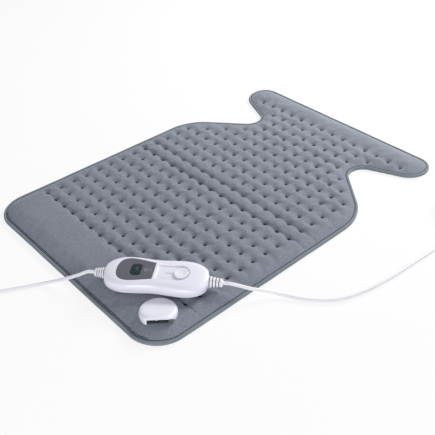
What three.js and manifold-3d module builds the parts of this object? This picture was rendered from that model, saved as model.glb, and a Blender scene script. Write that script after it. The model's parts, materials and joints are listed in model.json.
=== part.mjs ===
// Heated back-and-neck pad with a plug-in slide controller, in millimetres, +Z up.
// Origin: centre of the pad's underside. +Y runs along the pad to its collar, +X to its right.

import * as THREE from 'three';
import { mergeVertices } from 'three/addons/utils/BufferGeometryUtils.js';
import Module from 'manifold-3d';

const wasm = await Module();
wasm.setup();

// Fits between neighbours
const CLEARANCE = 0.3;
const CUT_MARGIN = 5;

// Pad outline, half of it, mirrored about the Y axis
const PAD_LENGTH = 620;
const PAD_WIDTH = 420;
const BASE_CORNER_RADIUS = 50;
const SHOULDER_FROM_TOP = 208;
const SHOULDER_RADIUS = 90;
const NOTCH_FROM_TOP = 108;
const NOTCH_DEPTH = 118;
const NOTCH_RADIUS = 28;
const WING_INSET = 4;
const WING_TIP_HEIGHT = 58;
const WING_LOWER_RADIUS = 40;
const WING_UPPER_RADIUS = 30;
const OUTLINE_ARC_STEP = 20;

// Pad layers
const BACK_THICKNESS = 1.2;
const FELT_THICKNESS = 1.2;
const WIRE_DIAMETER = 2.4;
const FLANGE_THICKNESS = 1.3;
const TUFT_THICKNESS = 1.5;
const CREASE_THICKNESS = 2.6;
const CROWN_THICKNESS = 6.3;
const RIM_ROLL = 8;
const BINDING_THICKNESS = 1.2;
const BINDING_WIDTH = 4.8;
const BINDING_LIFT = 0.3;

// Sewn tufts, and the rows of them that the pad folds along
const TUFT_PITCH = 25.2;
const TUFT_SIDE_MARGIN = 27.4;
const TUFT_BASE_MARGIN = 86.2;
const TUFT_TOP_MARGIN = 50;
const TUFT_EDGE_MARGIN = 15;
const FOLD_ROWS = [8, 9, 16];

// Heating wire and its cut-outs
const WIRE_EDGE_INSET = 13;
const WIRE_TURN_INSET = 21;
const WIRE_SIDES = 5;
const WIRE_TURN_STEPS = 4;
const CUTOUT_LENGTH = 14;
const CUTOUT_WIDTH = 5;
const CUTOUT_ROWS = [5, 14];

// Socket on the pad
const SOCKET_FROM_SIDE = 48;
const SOCKET_FROM_BASE = 47.4;
const SOCKET_FACING = -40;
const SOCKET_DIAMETER = 51.8;
const SOCKET_RIM = 2.5;
const SOCKET_CROWN = 11;
const SOCKET_EDGE_POWER = 8;
const SOCKET_EDGE_ROUND = 0.4;
const SOCKET_MOUTH_OFFSET = 20;
const SOCKET_BASE_DIAMETER = 41;
const SOCKET_BASE_THICKNESS = 2;
const SOCKET_WALL = 2;
const SOCKET_SLOT_WIDTH = 28.6;
const SOCKET_SLOT_HEIGHT = 5.7;
const SOCKET_SLOT_DEPTH = 14;
const CONTACT_BLOCK_DEPTH = 5;
const CONTACT_COUNT = 3;
const CONTACT_PITCH = 8.5;
const CONTACT_DIAMETER = 2.4;
const CONTACT_LENGTH = 6.5;
const SOCKET_SCREW_SPACING = 20;
const SOCKET_SCREW_SETBACK = 4;
const BACKPLATE_DIAMETER = 40;
const BACKPLATE_THICKNESS = 1.6;

// Controller case
const CASE_FROM_SIDE = 94;
const CASE_FROM_BASE = 81.5;
const CASE_ANGLE = 39.6;
const CASE_LENGTH = 143;
const CASE_END_WIDTH = 62;
const CASE_WAIST_WIDTH = 55.6;
const CASE_WAIST_SPREAD = 26;
const CASE_NOSE_WIDTH = 18;
const CASE_ROUND_START = 34;
const CASE_ROUND_POWER = 2.4;
const CASE_HEIGHT = 25.6;
const CASE_TOP_CUT = 2.2;
const CASE_END_DROOP = 5.5;
const CASE_END_RISE = 3;
const CASE_SECTION_POWER = 3;
const PARTING_HEIGHT = 11;
const CASE_WALL = 2;
const CASE_ROOF = 3.4;

// Controller front
const PANEL_LEFT = -54.5;
const PANEL_RIGHT = -3.3;
const PANEL_WIDE_HALF = 21.8;
const PANEL_NARROW_HALF = 16;
const PANEL_ROUND = 19;
const PANEL_THICKNESS = 1;
const WINDOW_U = -27.5;
const WINDOW_LENGTH = 15.5;
const WINDOW_WIDTH = 22.5;
const WINDOW_CHAMFER = 4;
const DISPLAY_LEDGE = 1;
const RECESS_LEFT = 1.2;
const RECESS_RIGHT = 46.4;
const RECESS_HALF_WIDTH = 14.8;
const RECESS_DEPTH = 2.2;
const KNOB_U = 34.8;
const KNOB_DIAMETER = 20;
const KNOB_HEIGHT = 2.5;
const KNOB_DISH = 0.7;
const KNOB_DISH_DIAMETER = 15;
const KNOB_TRAVEL = 21;
const STEM_LENGTH = 4;
const STEM_WIDTH = 3;

// Controller inside
const BOARD_LENGTH = 88;
const BOARD_WIDTH = 34;
const BOARD_THICKNESS = 1.6;
const BOARD_HEIGHT = 13.5;
const BOARD_POST_U = 39;
const BOARD_POST_V = 13;
const BOARD_POST_DIAMETER = 5;
const SWITCH_WIDTH = 9;
const SWITCH_HEIGHT = 4;
const SWITCH_FLOOR = 1.2;
const SWITCH_END = 2;
const CARRIAGE_LENGTH = 6;
const CARRIAGE_WIDTH = 3.4;
const CASE_SCREW_U = 53;
const CASE_SCREW_V = 14;
const BOSS_DIAMETER = 7;
const SCREW_HEAD_DIAMETER = 5.4;
const SCREW_HEAD_HEIGHT = 2;
const SCREW_SHANK_DIAMETER = 2.4;
const SCREW_LENGTH = 10;
const COUNTERBORE_DEPTH = 7;
const CHIP_SIZE = 9;
const CHIP_HEIGHT = 1.6;
const CHIP_U = -6;
const CHIP_V = 8;
const CAPACITOR_LENGTH = 17;
const CAPACITOR_WIDTH = 8;
const CAPACITOR_HEIGHT = 9;
const CAPACITOR_U = -12;
const TRIAC_LENGTH = 10;
const TRIAC_WIDTH = 4.6;
const TRIAC_HEIGHT = 8;
const TRIAC_U = 15;
const TRIAC_V = 8;
const FUSE_LENGTH = 20;
const FUSE_DIAMETER = 5.2;
const TERMINAL_LENGTH = 8;
const TERMINAL_WIDTH = 14;
const TERMINAL_HEIGHT = 8;
const TERMINAL_U = 36;

// Strain reliefs
const BOOT_DIAMETER = 17;
const BOOT_TIP_DIAMETER = 11;
const MAINS_BOOT_LENGTH = 20;
const PAD_BOOT_LENGTH = 15;
const BOOT_RIBS = 5;
const BOOT_GROOVE = 1.4;
const BOOT_RIB_SHARE = 0.6;
const BOOT_SIDES = 12;
const BOOT_NECK_DIAMETER = 8.6;
const BOOT_COLLAR_DIAMETER = 11.6;
const BOOT_COLLAR_LENGTH = 2;

// Leads
const CORD_DIAMETER = 5;
const CORD_SIDES = 8;
const CORD_STEP = 12;
const COIL_SIDES = 6;
const COIL_STEPS = 24;
const COIL_PITCH = 5.8;
const COIL_LAYER_PITCH = 5.7;
const TIE_THICKNESS = 0.8;
const TIE_WIDTH = 8;
const PAD_COIL_RADIUS = 30.3;
const PAD_COIL_TURNS = 3.25;
const PAD_COIL_LAYERS = 2;
const MAINS_COIL_RADIUS = 33;
const MAINS_COIL_TURNS = 8;
const MAINS_COIL_LAYERS = 4;
const MAINS_TAIL_LENGTH = 52;
const PAD_TAIL_LENGTH = 34;

// Pad connector and mains plug
const CONNECTOR_WIDTH = 38;
const CONNECTOR_LENGTH = 22;
const CONNECTOR_HEIGHT = 12;
const CONNECTOR_ROUND = 4;
const CONNECTOR_BACK_WIDTH = 18;
const CONNECTOR_BOOT_DIAMETER = 9;
const TONGUE_LENGTH = 13;
const PLUG_FACE_WIDTH = 35;
const PLUG_BACK_WIDTH = 16;
const PLUG_LENGTH = 32;
const PLUG_HEIGHT = 13.7;
const PLUG_ROUND = 3;
const PLUG_BOOT_TIP_DIAMETER = 7;
const PLUG_BOOT_DIAMETER = 9;
const PLUG_PIN_DIAMETER = 4;
const PLUG_PIN_LENGTH = 19;
const PLUG_PIN_SPACING = 18.6;
const PLUG_BOOT_LENGTH = 16;

// Facets
const HOOD_SIDES = 32;
const HOOD_REACHES = [1, 0.99, 0.965, 0.92, 0.84, 0.68, 0.4];
const HOOD_INNER_SIDES = 24;
const HOOD_INNER_REACHES = [1, 0.97, 0.9, 0.75, 0.4];
const BASE_PLATE_SIDES = 28;
const BACKPLATE_SIDES = 24;
const CASE_SIDES = 20;
const CASE_STEPS = 16;
const CASE_INNER_SIDES = 12;
const CASE_INNER_STEPS = 10;
const PANEL_STEPS = 7;
const RECESS_STEPS = 12;
const KNOB_SIDES = 28;
const POST_SIDES = 12;
const BORE_SIDES = 16;
const SCREW_SIDES = 10;
const HOLE_SIDES = 8;
const PLUG_PIN_SIDES = 10;

// Levels and places worked out from the sizes
const feltBottom = BACK_THICKNESS + CLEARANCE;
const feltTop = feltBottom + FELT_THICKNESS;
const wireZ = feltTop + CLEARANCE + WIRE_DIAMETER / 2;
const cushionBottom = feltTop + WIRE_DIAMETER + 2 * CLEARANCE;
const flangeTop = cushionBottom + FLANGE_THICKNESS;
const bindingTop = flangeTop + CLEARANCE + BINDING_THICKNESS;
const tuftTop = cushionBottom + TUFT_THICKNESS;
const creaseTop = cushionBottom + CREASE_THICKNESS;
const crownTop = cushionBottom + CROWN_THICKNESS;
const layerInset = BINDING_THICKNESS + CLEARANCE;
const seamInset = BINDING_WIDTH + CLEARANCE;
const restOnPad = crownTop + CLEARANCE;
const cordRadius = CORD_DIAMETER / 2;
const padBase = -PAD_LENGTH / 2;
const socketX = PAD_WIDTH / 2 - SOCKET_FROM_SIDE;
const socketY = padBase + SOCKET_FROM_BASE;
const caseX = PAD_WIDTH / 2 - CASE_FROM_SIDE;
const caseY = padBase + CASE_FROM_BASE;

const radians = THREE.MathUtils.degToRad;
const smoothstep = THREE.MathUtils.smoothstep;
const part = new THREE.Group();

const finishes = {
  plush: { color: 0x6b6f7a, roughness: 0.95, metalness: 0 },
  backing: { color: 0x4d515a, roughness: 0.9, metalness: 0 },
  binding: { color: 0x77808c, roughness: 0.85, metalness: 0 },
  felt: { color: 0xd8d6d0, roughness: 1, metalness: 0 },
  wire: { color: 0xb4543c, roughness: 0.6, metalness: 0 },
  whitePlastic: { color: 0xe9e8f2, roughness: 0.25, metalness: 0 },
  greyPanel: { color: 0x6d6d70, roughness: 0.55, metalness: 0 },
  window: { color: 0x16292c, roughness: 0.15, metalness: 0 },
  board: { color: 0x2f6b3c, roughness: 0.6, metalness: 0 },
  darkPlastic: { color: 0x2a2a2c, roughness: 0.5, metalness: 0 },
  metal: { color: 0xc0c0c4, roughness: 0.3, metalness: 1 },
  cord: { color: 0xf0f0ee, roughness: 0.4, metalness: 0 },
};

function addPiece(name, geometry, finish, group = part) {
  const mesh = new THREE.Mesh(geometry, new THREE.MeshStandardMaterial(finishes[finish]));
  mesh.name = name;
  group.add(mesh);
  return mesh;
}

// Booleans

function toSolid(geometry) {
  const bare = geometry.clone();
  bare.deleteAttribute('normal');
  bare.deleteAttribute('uv');
  const merged = mergeVertices(bare, 1e-4);
  return new wasm.Manifold(new wasm.Mesh({
    numProp: 3,
    vertProperties: new Float32Array(merged.attributes.position.array),
    triVerts: new Uint32Array(merged.index.array),
  }));
}

function toGeometry(solid) {
  const mesh = solid.getMesh();
  const geometry = new THREE.BufferGeometry();
  geometry.setAttribute('position', new THREE.BufferAttribute(new Float32Array(mesh.vertProperties), 3));
  geometry.setIndex(new THREE.BufferAttribute(new Uint32Array(mesh.triVerts), 1));
  geometry.computeVertexNormals();
  return geometry;
}

function cut(geometry, ...tools) {
  let solid = toSolid(geometry);
  for (const tool of tools) solid = solid.subtract(toSolid(tool));
  return toGeometry(solid);
}

function join(geometry, ...others) {
  let solid = toSolid(geometry);
  for (const other of others) solid = solid.add(toSolid(other));
  return toGeometry(solid);
}

function overlap(first, second) {
  return toGeometry(toSolid(first).intersect(toSolid(second)));
}

// Closed shapes

function fromFaces(points, triangles) {
  const geometry = new THREE.BufferGeometry();
  geometry.setFromPoints(points);
  geometry.setIndex(signedVolume(points, triangles) < 0 ? triangles.toReversed() : triangles);
  geometry.computeVertexNormals();
  return geometry;
}

function signedVolume(points, triangles) {
  let volume = 0;
  const normal = new THREE.Vector3();
  for (let i = 0; i < triangles.length; i += 3) {
    normal.crossVectors(points[triangles[i + 1]], points[triangles[i + 2]]);
    volume += points[triangles[i]].dot(normal);
  }
  return volume;
}

// Rings of equal count joined one to the next; the first and last are capped unless the row is a loop.
function skin(rings, loop = false) {
  const count = rings[0].length;
  const triangles = [];
  const spans = loop ? rings.length : rings.length - 1;
  for (let k = 0; k < spans; k += 1) {
    const next = (k + 1) % rings.length;
    for (let i = 0; i < count; i += 1) {
      const a = k * count + i;
      const b = k * count + (i + 1) % count;
      const c = next * count + (i + 1) % count;
      const d = next * count + i;
      triangles.push(a, b, c, a, c, d);
    }
  }
  if (!loop) {
    const last = (rings.length - 1) * count;
    for (const [a, b, c] of capFaces(rings[0])) triangles.push(a, c, b);
    for (const [a, b, c] of capFaces(rings.at(-1))) triangles.push(last + a, last + b, last + c);
  }
  return fromFaces(rings.flat(), triangles);
}

// A flat cap, triangulated in the plane of its ring, kept turning the way the ring turns.
function capFaces(ring) {
  const normal = new THREE.Vector3();
  for (let i = 0; i < ring.length; i += 1) {
    normal.add(new THREE.Vector3().crossVectors(ring[i], ring[(i + 1) % ring.length]));
  }
  const turn = new THREE.Quaternion().setFromUnitVectors(normal.normalize(), new THREE.Vector3(0, 0, 1));
  const flat = ring.map((point) => {
    const turned = point.clone().applyQuaternion(turn);
    return new THREE.Vector2(turned.x, turned.y);
  });
  return THREE.ShapeUtils.triangulateShape(flat, []);
}

function prism(outline, bottom, top, holes = []) {
  const shape = new THREE.Shape(outline);
  shape.holes = holes.map((hole) => new THREE.Path(hole));
  const geometry = new THREE.ExtrudeGeometry(shape, { depth: top - bottom, bevelEnabled: false });
  return geometry.translate(0, 0, bottom);
}

function box(sizeX, sizeY, bottom, top, x = 0, y = 0) {
  return new THREE.BoxGeometry(sizeX, sizeY, top - bottom).translate(x, y, (bottom + top) / 2);
}

function post(diameter, bottom, top, x, y, sides) {
  const geometry = new THREE.CylinderGeometry(diameter / 2, diameter / 2, top - bottom, sides);
  return geometry.rotateX(Math.PI / 2).translate(x, y, (bottom + top) / 2);
}

// A turned shape about the X axis from [x, radius] steps that start and end on the axis.
function turned(steps, sides) {
  const profile = steps.map(([x, radius]) => new THREE.Vector2(radius, x));
  return new THREE.LatheGeometry(profile, sides).rotateZ(-Math.PI / 2);
}

function circleOutline(diameter, sides, x = 0, y = 0) {
  return Array.from({ length: sides }, (_, i) => {
    const angle = (2 * Math.PI * i) / sides;
    return new THREE.Vector2(x + (diameter / 2) * Math.cos(angle), y + (diameter / 2) * Math.sin(angle));
  });
}

// A tube of few sides through the given points, square to its path.
function tube(points, diameter, sides) {
  const up = new THREE.Vector3(0, 0, 1);
  const rings = points.map((point, i) => {
    const before = points[Math.max(i - 1, 0)];
    const after = points[Math.min(i + 1, points.length - 1)];
    const along = after.clone().sub(before).normalize();
    const side = new THREE.Vector3().crossVectors(along, up).normalize();
    const rise = new THREE.Vector3().crossVectors(side, along);
    return Array.from({ length: sides }, (_, k) => {
      const angle = (2 * Math.PI * (k + 0.5)) / sides;
      return point.clone()
        .addScaledVector(side, (diameter / 2) * Math.cos(angle))
        .addScaledVector(rise, (diameter / 2) * Math.sin(angle));
    });
  });
  return skin(rings);
}

// Pad outline: corners of the right half from the base up, then the left half mirrored.
const outlineCorners = (() => {
  const halfWidth = PAD_WIDTH / 2;
  const top = PAD_LENGTH / 2;
  const wing = halfWidth - WING_INSET;
  const right = [
    { x: halfWidth, y: padBase, radius: BASE_CORNER_RADIUS },
    { x: halfWidth, y: top - SHOULDER_FROM_TOP, radius: SHOULDER_RADIUS },
    { x: halfWidth - NOTCH_DEPTH, y: top - NOTCH_FROM_TOP, radius: NOTCH_RADIUS },
    { x: wing, y: top - WING_TIP_HEIGHT, radius: WING_LOWER_RADIUS },
    { x: wing, y: top, radius: WING_UPPER_RADIUS },
  ];
  const left = right.toReversed().map((corner) => ({ ...corner, x: -corner.x }));
  return [...right, ...left].map((corner) => ({ at: new THREE.Vector2(corner.x, corner.y), ...corner }));
})();

// The outline drawn in by a distance: each rounded corner keeps its centre and changes its radius.
function padOutline(inset) {
  const points = [];
  const count = outlineCorners.length;
  outlineCorners.forEach((corner, i) => {
    const before = outlineCorners[(i + count - 1) % count].at;
    const after = outlineCorners[(i + 1) % count].at;
    const incoming = corner.at.clone().sub(before).normalize();
    const outgoing = after.clone().sub(corner.at).normalize();
    const turn = Math.atan2(incoming.cross(outgoing), incoming.dot(outgoing));
    const bend = Math.sign(turn);
    const reach = corner.radius * Math.tan(Math.abs(turn) / 2);
    const start = corner.at.clone().addScaledVector(incoming, -reach);
    const outward = new THREE.Vector2(incoming.y, -incoming.x).multiplyScalar(bend);
    const centre = start.clone().addScaledVector(outward, -corner.radius);
    const radius = corner.radius - bend * inset;
    const steps = Math.ceil(Math.abs(turn) / radians(OUTLINE_ARC_STEP));
    for (let k = 0; k <= steps; k += 1) {
      const ray = outward.clone().rotateAround(new THREE.Vector2(), (turn * k) / steps);
      points.push(centre.clone().addScaledVector(ray, radius));
    }
  });
  return points;
}

function padRing(inset, height) {
  return padOutline(inset).map((point) => new THREE.Vector3(point.x, point.y, height));
}

function insideOutline(outline, x, y) {
  let inside = false;
  outline.forEach((a, i) => {
    const b = outline[(i + 1) % outline.length];
    const crosses = (a.y > y) !== (b.y > y);
    if (crosses && x < a.x + ((y - a.y) / (b.y - a.y)) * (b.x - a.x)) inside = !inside;
  });
  return inside;
}

// Right-hand reach of the outline at one height
function outlineReach(outline, y) {
  let reach = 0;
  outline.forEach((a, i) => {
    const b = outline[(i + 1) % outline.length];
    if ((a.y > y) !== (b.y > y)) reach = Math.max(reach, a.x + ((y - a.y) / (b.y - a.y)) * (b.x - a.x));
  });
  return reach;
}

// Tufts

const tuftColumns = Math.floor((PAD_WIDTH - 2 * TUFT_SIDE_MARGIN) / TUFT_PITCH) + 1;
const tuftRows = Math.floor((PAD_LENGTH - TUFT_BASE_MARGIN - TUFT_TOP_MARGIN) / TUFT_PITCH) + 1;

function tuftX(column) {
  return -PAD_WIDTH / 2 + TUFT_SIDE_MARGIN + column * TUFT_PITCH;
}

function tuftY(row) {
  return padBase + TUFT_BASE_MARGIN + row * TUFT_PITCH;
}

// The quilted block: a low point at each tuft, a crown half way to the next one, and low channels on
// the fold rows, with plain crowned bands outside the sewn field.
function quiltBlock() {
  const sewn = padOutline(TUFT_EDGE_MARGIN);
  const low = cushionBottom - CUT_MARGIN;
  const points = [];
  const triangles = [];
  const places = new Map();
  const outerX = PAD_WIDTH / 2 + CUT_MARGIN;
  const outerY = PAD_LENGTH / 2 + CUT_MARGIN;
  const lastX = 2 * (tuftColumns - 1);
  const lastY = 2 * (tuftRows - 1);

  function place(i, j) {
    const key = `${i},${j}`;
    if (!places.has(key)) {
      const x = i < -1 ? -outerX : i > lastX + 1 ? outerX : tuftX(i / 2);
      const y = j < -1 ? -outerY : j > lastY + 1 ? outerY : tuftY(j / 2);
      places.set(key, points.length);
      points.push(new THREE.Vector3(x, y, heightAt(i, j, x, y)));
    }
    return places.get(key);
  }

  function heightAt(i, j, x, y) {
    const inField = i >= 0 && j >= 0 && i <= lastX && j <= lastY && insideOutline(sewn, x, y);
    if (!inField || j % 2 !== 0) return crownTop;
    if (i % 2 === 0) return tuftTop;
    return FOLD_ROWS.includes(j / 2) ? creaseTop : crownTop;
  }

  function face(...corners) {
    triangles.push(...corners.map(([i, j]) => place(i, j)));
  }

  // Each cell between four tufts: a triangle at every tuft and a flat diamond crown
  for (let j = 0; j < lastY; j += 2) {
    for (let i = 0; i < lastX; i += 2) {
      face([i, j], [i + 1, j], [i, j + 1]);
      face([i + 2, j], [i + 2, j + 1], [i + 1, j]);
      face([i + 2, j + 2], [i + 1, j + 2], [i + 2, j + 1]);
      face([i, j + 2], [i, j + 1], [i + 1, j + 2]);
      face([i + 1, j], [i + 2, j + 1], [i + 1, j + 2]);
      face([i + 1, j], [i + 1, j + 2], [i, j + 1]);
    }
  }
  // The half cells and the plain band along the base and the top, then along the two sides
  for (const [edge, step] of [[0, -1], [lastY, 1]]) {
    for (let i = 0; i < lastX; i += 2) {
      const line = edge + step;
      const rows = [
        [[i, edge], [i, line], [i + 1, edge]],
        [[i + 1, edge], [i, line], [i + 2, line]],
        [[i + 1, edge], [i + 2, line], [i + 2, edge]],
        [[i, line], [i, line + step], [i + 2, line]],
        [[i + 2, line], [i, line + step], [i + 2, line + step]],
      ];
      for (const row of rows) face(...(step < 0 ? row : row.toReversed()));
    }
  }
  for (const [edge, step] of [[0, -1], [lastX, 1]]) {
    for (let j = 0; j < lastY; j += 2) {
      const line = edge + step;
      const rows = [
        [[edge, j], [edge, j + 1], [line, j]],
        [[edge, j + 1], [line, j + 2], [line, j]],
        [[edge, j + 1], [edge, j + 2], [line, j + 2]],
        [[line, j], [line, j + 2], [line + step, j]],
        [[line, j + 2], [line + step, j + 2], [line + step, j]],
      ];
      for (const row of rows) face(...(step < 0 ? row : row.toReversed()));
    }
  }
  for (const [i, stepX] of [[0, -1], [lastX, 1]]) {
    for (const [j, stepY] of [[0, -1], [lastY, 1]]) {
      for (const [a, b] of [[0, 0], [1, 0], [0, 1], [1, 1]]) {
        const x = i + a * stepX;
        const y = j + b * stepY;
        const corners = [[x, y], [x + stepX, y], [x + stepX, y + stepY], [x, y + stepY]];
        const ordered = stepX * stepY > 0 ? corners : corners.toReversed();
        face(ordered[0], ordered[1], ordered[2]);
        face(ordered[0], ordered[2], ordered[3]);
      }
    }
  }

  // Sides and bottom: the rim is found as the edges that only one face uses
  const used = new Set();
  for (let t = 0; t < triangles.length; t += 3) {
    for (let e = 0; e < 3; e += 1) used.add(`${triangles[t + e]}>${triangles[t + (e + 1) % 3]}`);
  }
  const bottomCentre = points.length;
  points.push(new THREE.Vector3(0, 0, low));
  const dropped = new Map();
  const drop = (index) => {
    if (!dropped.has(index)) {
      dropped.set(index, points.length);
      points.push(new THREE.Vector3(points[index].x, points[index].y, low));
    }
    return dropped.get(index);
  };
  for (const edge of used) {
    const [a, b] = edge.split('>').map(Number);
    if (used.has(`${b}>${a}`)) continue;
    triangles.push(b, a, drop(a), b, drop(a), drop(b), drop(b), drop(a), bottomCentre);
  }
  return fromFaces(points, triangles);
}

function addPadLayers() {
  addPiece('back_cover', prism(padOutline(layerInset), 0, BACK_THICKNESS), 'backing');
  addPiece('carrier_felt', prism(padOutline(layerInset), feltBottom, feltTop), 'felt');

  const pillow = skin([
    padRing(layerInset, cushionBottom),
    padRing(layerInset, flangeTop),
    padRing(seamInset, flangeTop),
    padRing(seamInset + RIM_ROLL, crownTop + CLEARANCE),
  ]);
  const holeDiameter = SCREW_SHANK_DIAMETER + 2 * CLEARANCE;
  const holes = socketScrewPlaces().map(({ x, y }) => (
    post(holeDiameter, cushionBottom - CUT_MARGIN, crownTop + CUT_MARGIN, x, y, HOLE_SIDES)
  ));
  addPiece('quilted_top', cut(overlap(quiltBlock(), pillow), ...holes), 'plush');

  const lip = flangeTop + CLEARANCE;
  const section = [
    [0, BINDING_LIFT],
    [0, bindingTop],
    [BINDING_WIDTH, bindingTop],
    [BINDING_WIDTH, lip],
    [BINDING_THICKNESS, lip],
    [BINDING_THICKNESS, BINDING_LIFT],
  ];
  const bindingRings = section.map(([inset, height]) => padRing(inset, height));
  addPiece('edge_binding', skin(bindingRings, true), 'binding');
}

// The wire climbs the right edge from the socket, then runs to and fro between the tuft rows back to it.
function wireRoute() {
  const edge = padOutline(WIRE_EDGE_INSET);
  const turnLine = padOutline(WIRE_TURN_INSET);
  const turnRadius = TUFT_PITCH / 2;
  const runY = (k) => tuftY(k + 0.5);
  const topRun = runY(tuftRows - 1);
  const start = socketY + SOCKET_DIAMETER / 2;
  const climb = edge.filter((point) => point.x > 0 && point.y > start && point.y < topRun - turnRadius);
  const route = [new THREE.Vector2(outlineReach(edge, start), start), ...climb];
  const corner = new THREE.Vector2(outlineReach(edge, topRun) - turnRadius, topRun - turnRadius);
  for (let step = 0; step <= WIRE_TURN_STEPS; step += 1) {
    const angle = ((Math.PI / 2) * step) / WIRE_TURN_STEPS;
    route.push(corner.clone().add(new THREE.Vector2(turnRadius, 0).rotateAround(new THREE.Vector2(), angle)));
  }
  let side = -1;
  for (let k = tuftRows - 1; k > 0; k -= 1) {
    const reach = Math.min(outlineReach(turnLine, runY(k)), outlineReach(turnLine, runY(k - 1)));
    const centre = new THREE.Vector2(side * (reach - turnRadius), runY(k) - turnRadius);
    for (let step = 0; step <= WIRE_TURN_STEPS; step += 1) {
      const angle = (Math.PI * step) / WIRE_TURN_STEPS;
      const swing = new THREE.Vector2(side * Math.sin(angle), Math.cos(angle));
      route.push(centre.clone().addScaledVector(swing, turnRadius));
    }
    side = -side;
  }
  route.push(new THREE.Vector2(socketX - 2 * turnRadius, runY(0)));
  return route.map((point) => new THREE.Vector3(point.x, point.y, wireZ));
}

function addHeatingCircuit() {
  addPiece('heating_wire', tube(wireRoute(), WIRE_DIAMETER, WIRE_SIDES), 'wire');
  const bottom = feltTop + CLEARANCE;
  CUTOUT_ROWS.forEach((row, i) => {
    const shape = box(CUTOUT_LENGTH, CUTOUT_WIDTH, bottom, bottom + WIRE_DIAMETER, 0, tuftY(row));
    addPiece(`thermal_cutout_${i + 1}`, shape, 'metal');
  });
}

// Socket: a round hood on the pad's corner. Its own frame has +X out of the mouth.

const socketFrame = new THREE.Group();
socketFrame.position.set(socketX, socketY, 0);
socketFrame.rotation.z = radians(SOCKET_FACING);
part.add(socketFrame);

function socketScrewPlaces() {
  const turn = radians(SOCKET_FACING);
  return [-1, 1].map((side) => {
    const local = new THREE.Vector2(-SOCKET_SCREW_SETBACK, (side * SOCKET_SCREW_SPACING) / 2);
    const at = local.clone().rotateAround(new THREE.Vector2(), turn);
    return { local, x: socketX + at.x, y: socketY + at.y };
  });
}

// A hood over a round base: a thin rim at the back, and a crown that grows steadily towards the mouth.
function hood(diameter, rim, reaches, sides) {
  const radius = diameter / 2;
  const rings = reaches.map((reach) => circleOutline(diameter * reach, sides).map(({ x, y }) => {
    const growth = (x + radius) / (SOCKET_MOUTH_OFFSET + radius);
    const edge = (1 - reach ** SOCKET_EDGE_POWER) ** SOCKET_EDGE_ROUND;
    return new THREE.Vector3(x, y, rim + SOCKET_CROWN * edge * growth);
  }));
  const foot = rings[0].map(({ x, y }) => new THREE.Vector3(x, y, 0));
  return skin([foot, ...rings]);
}

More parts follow.
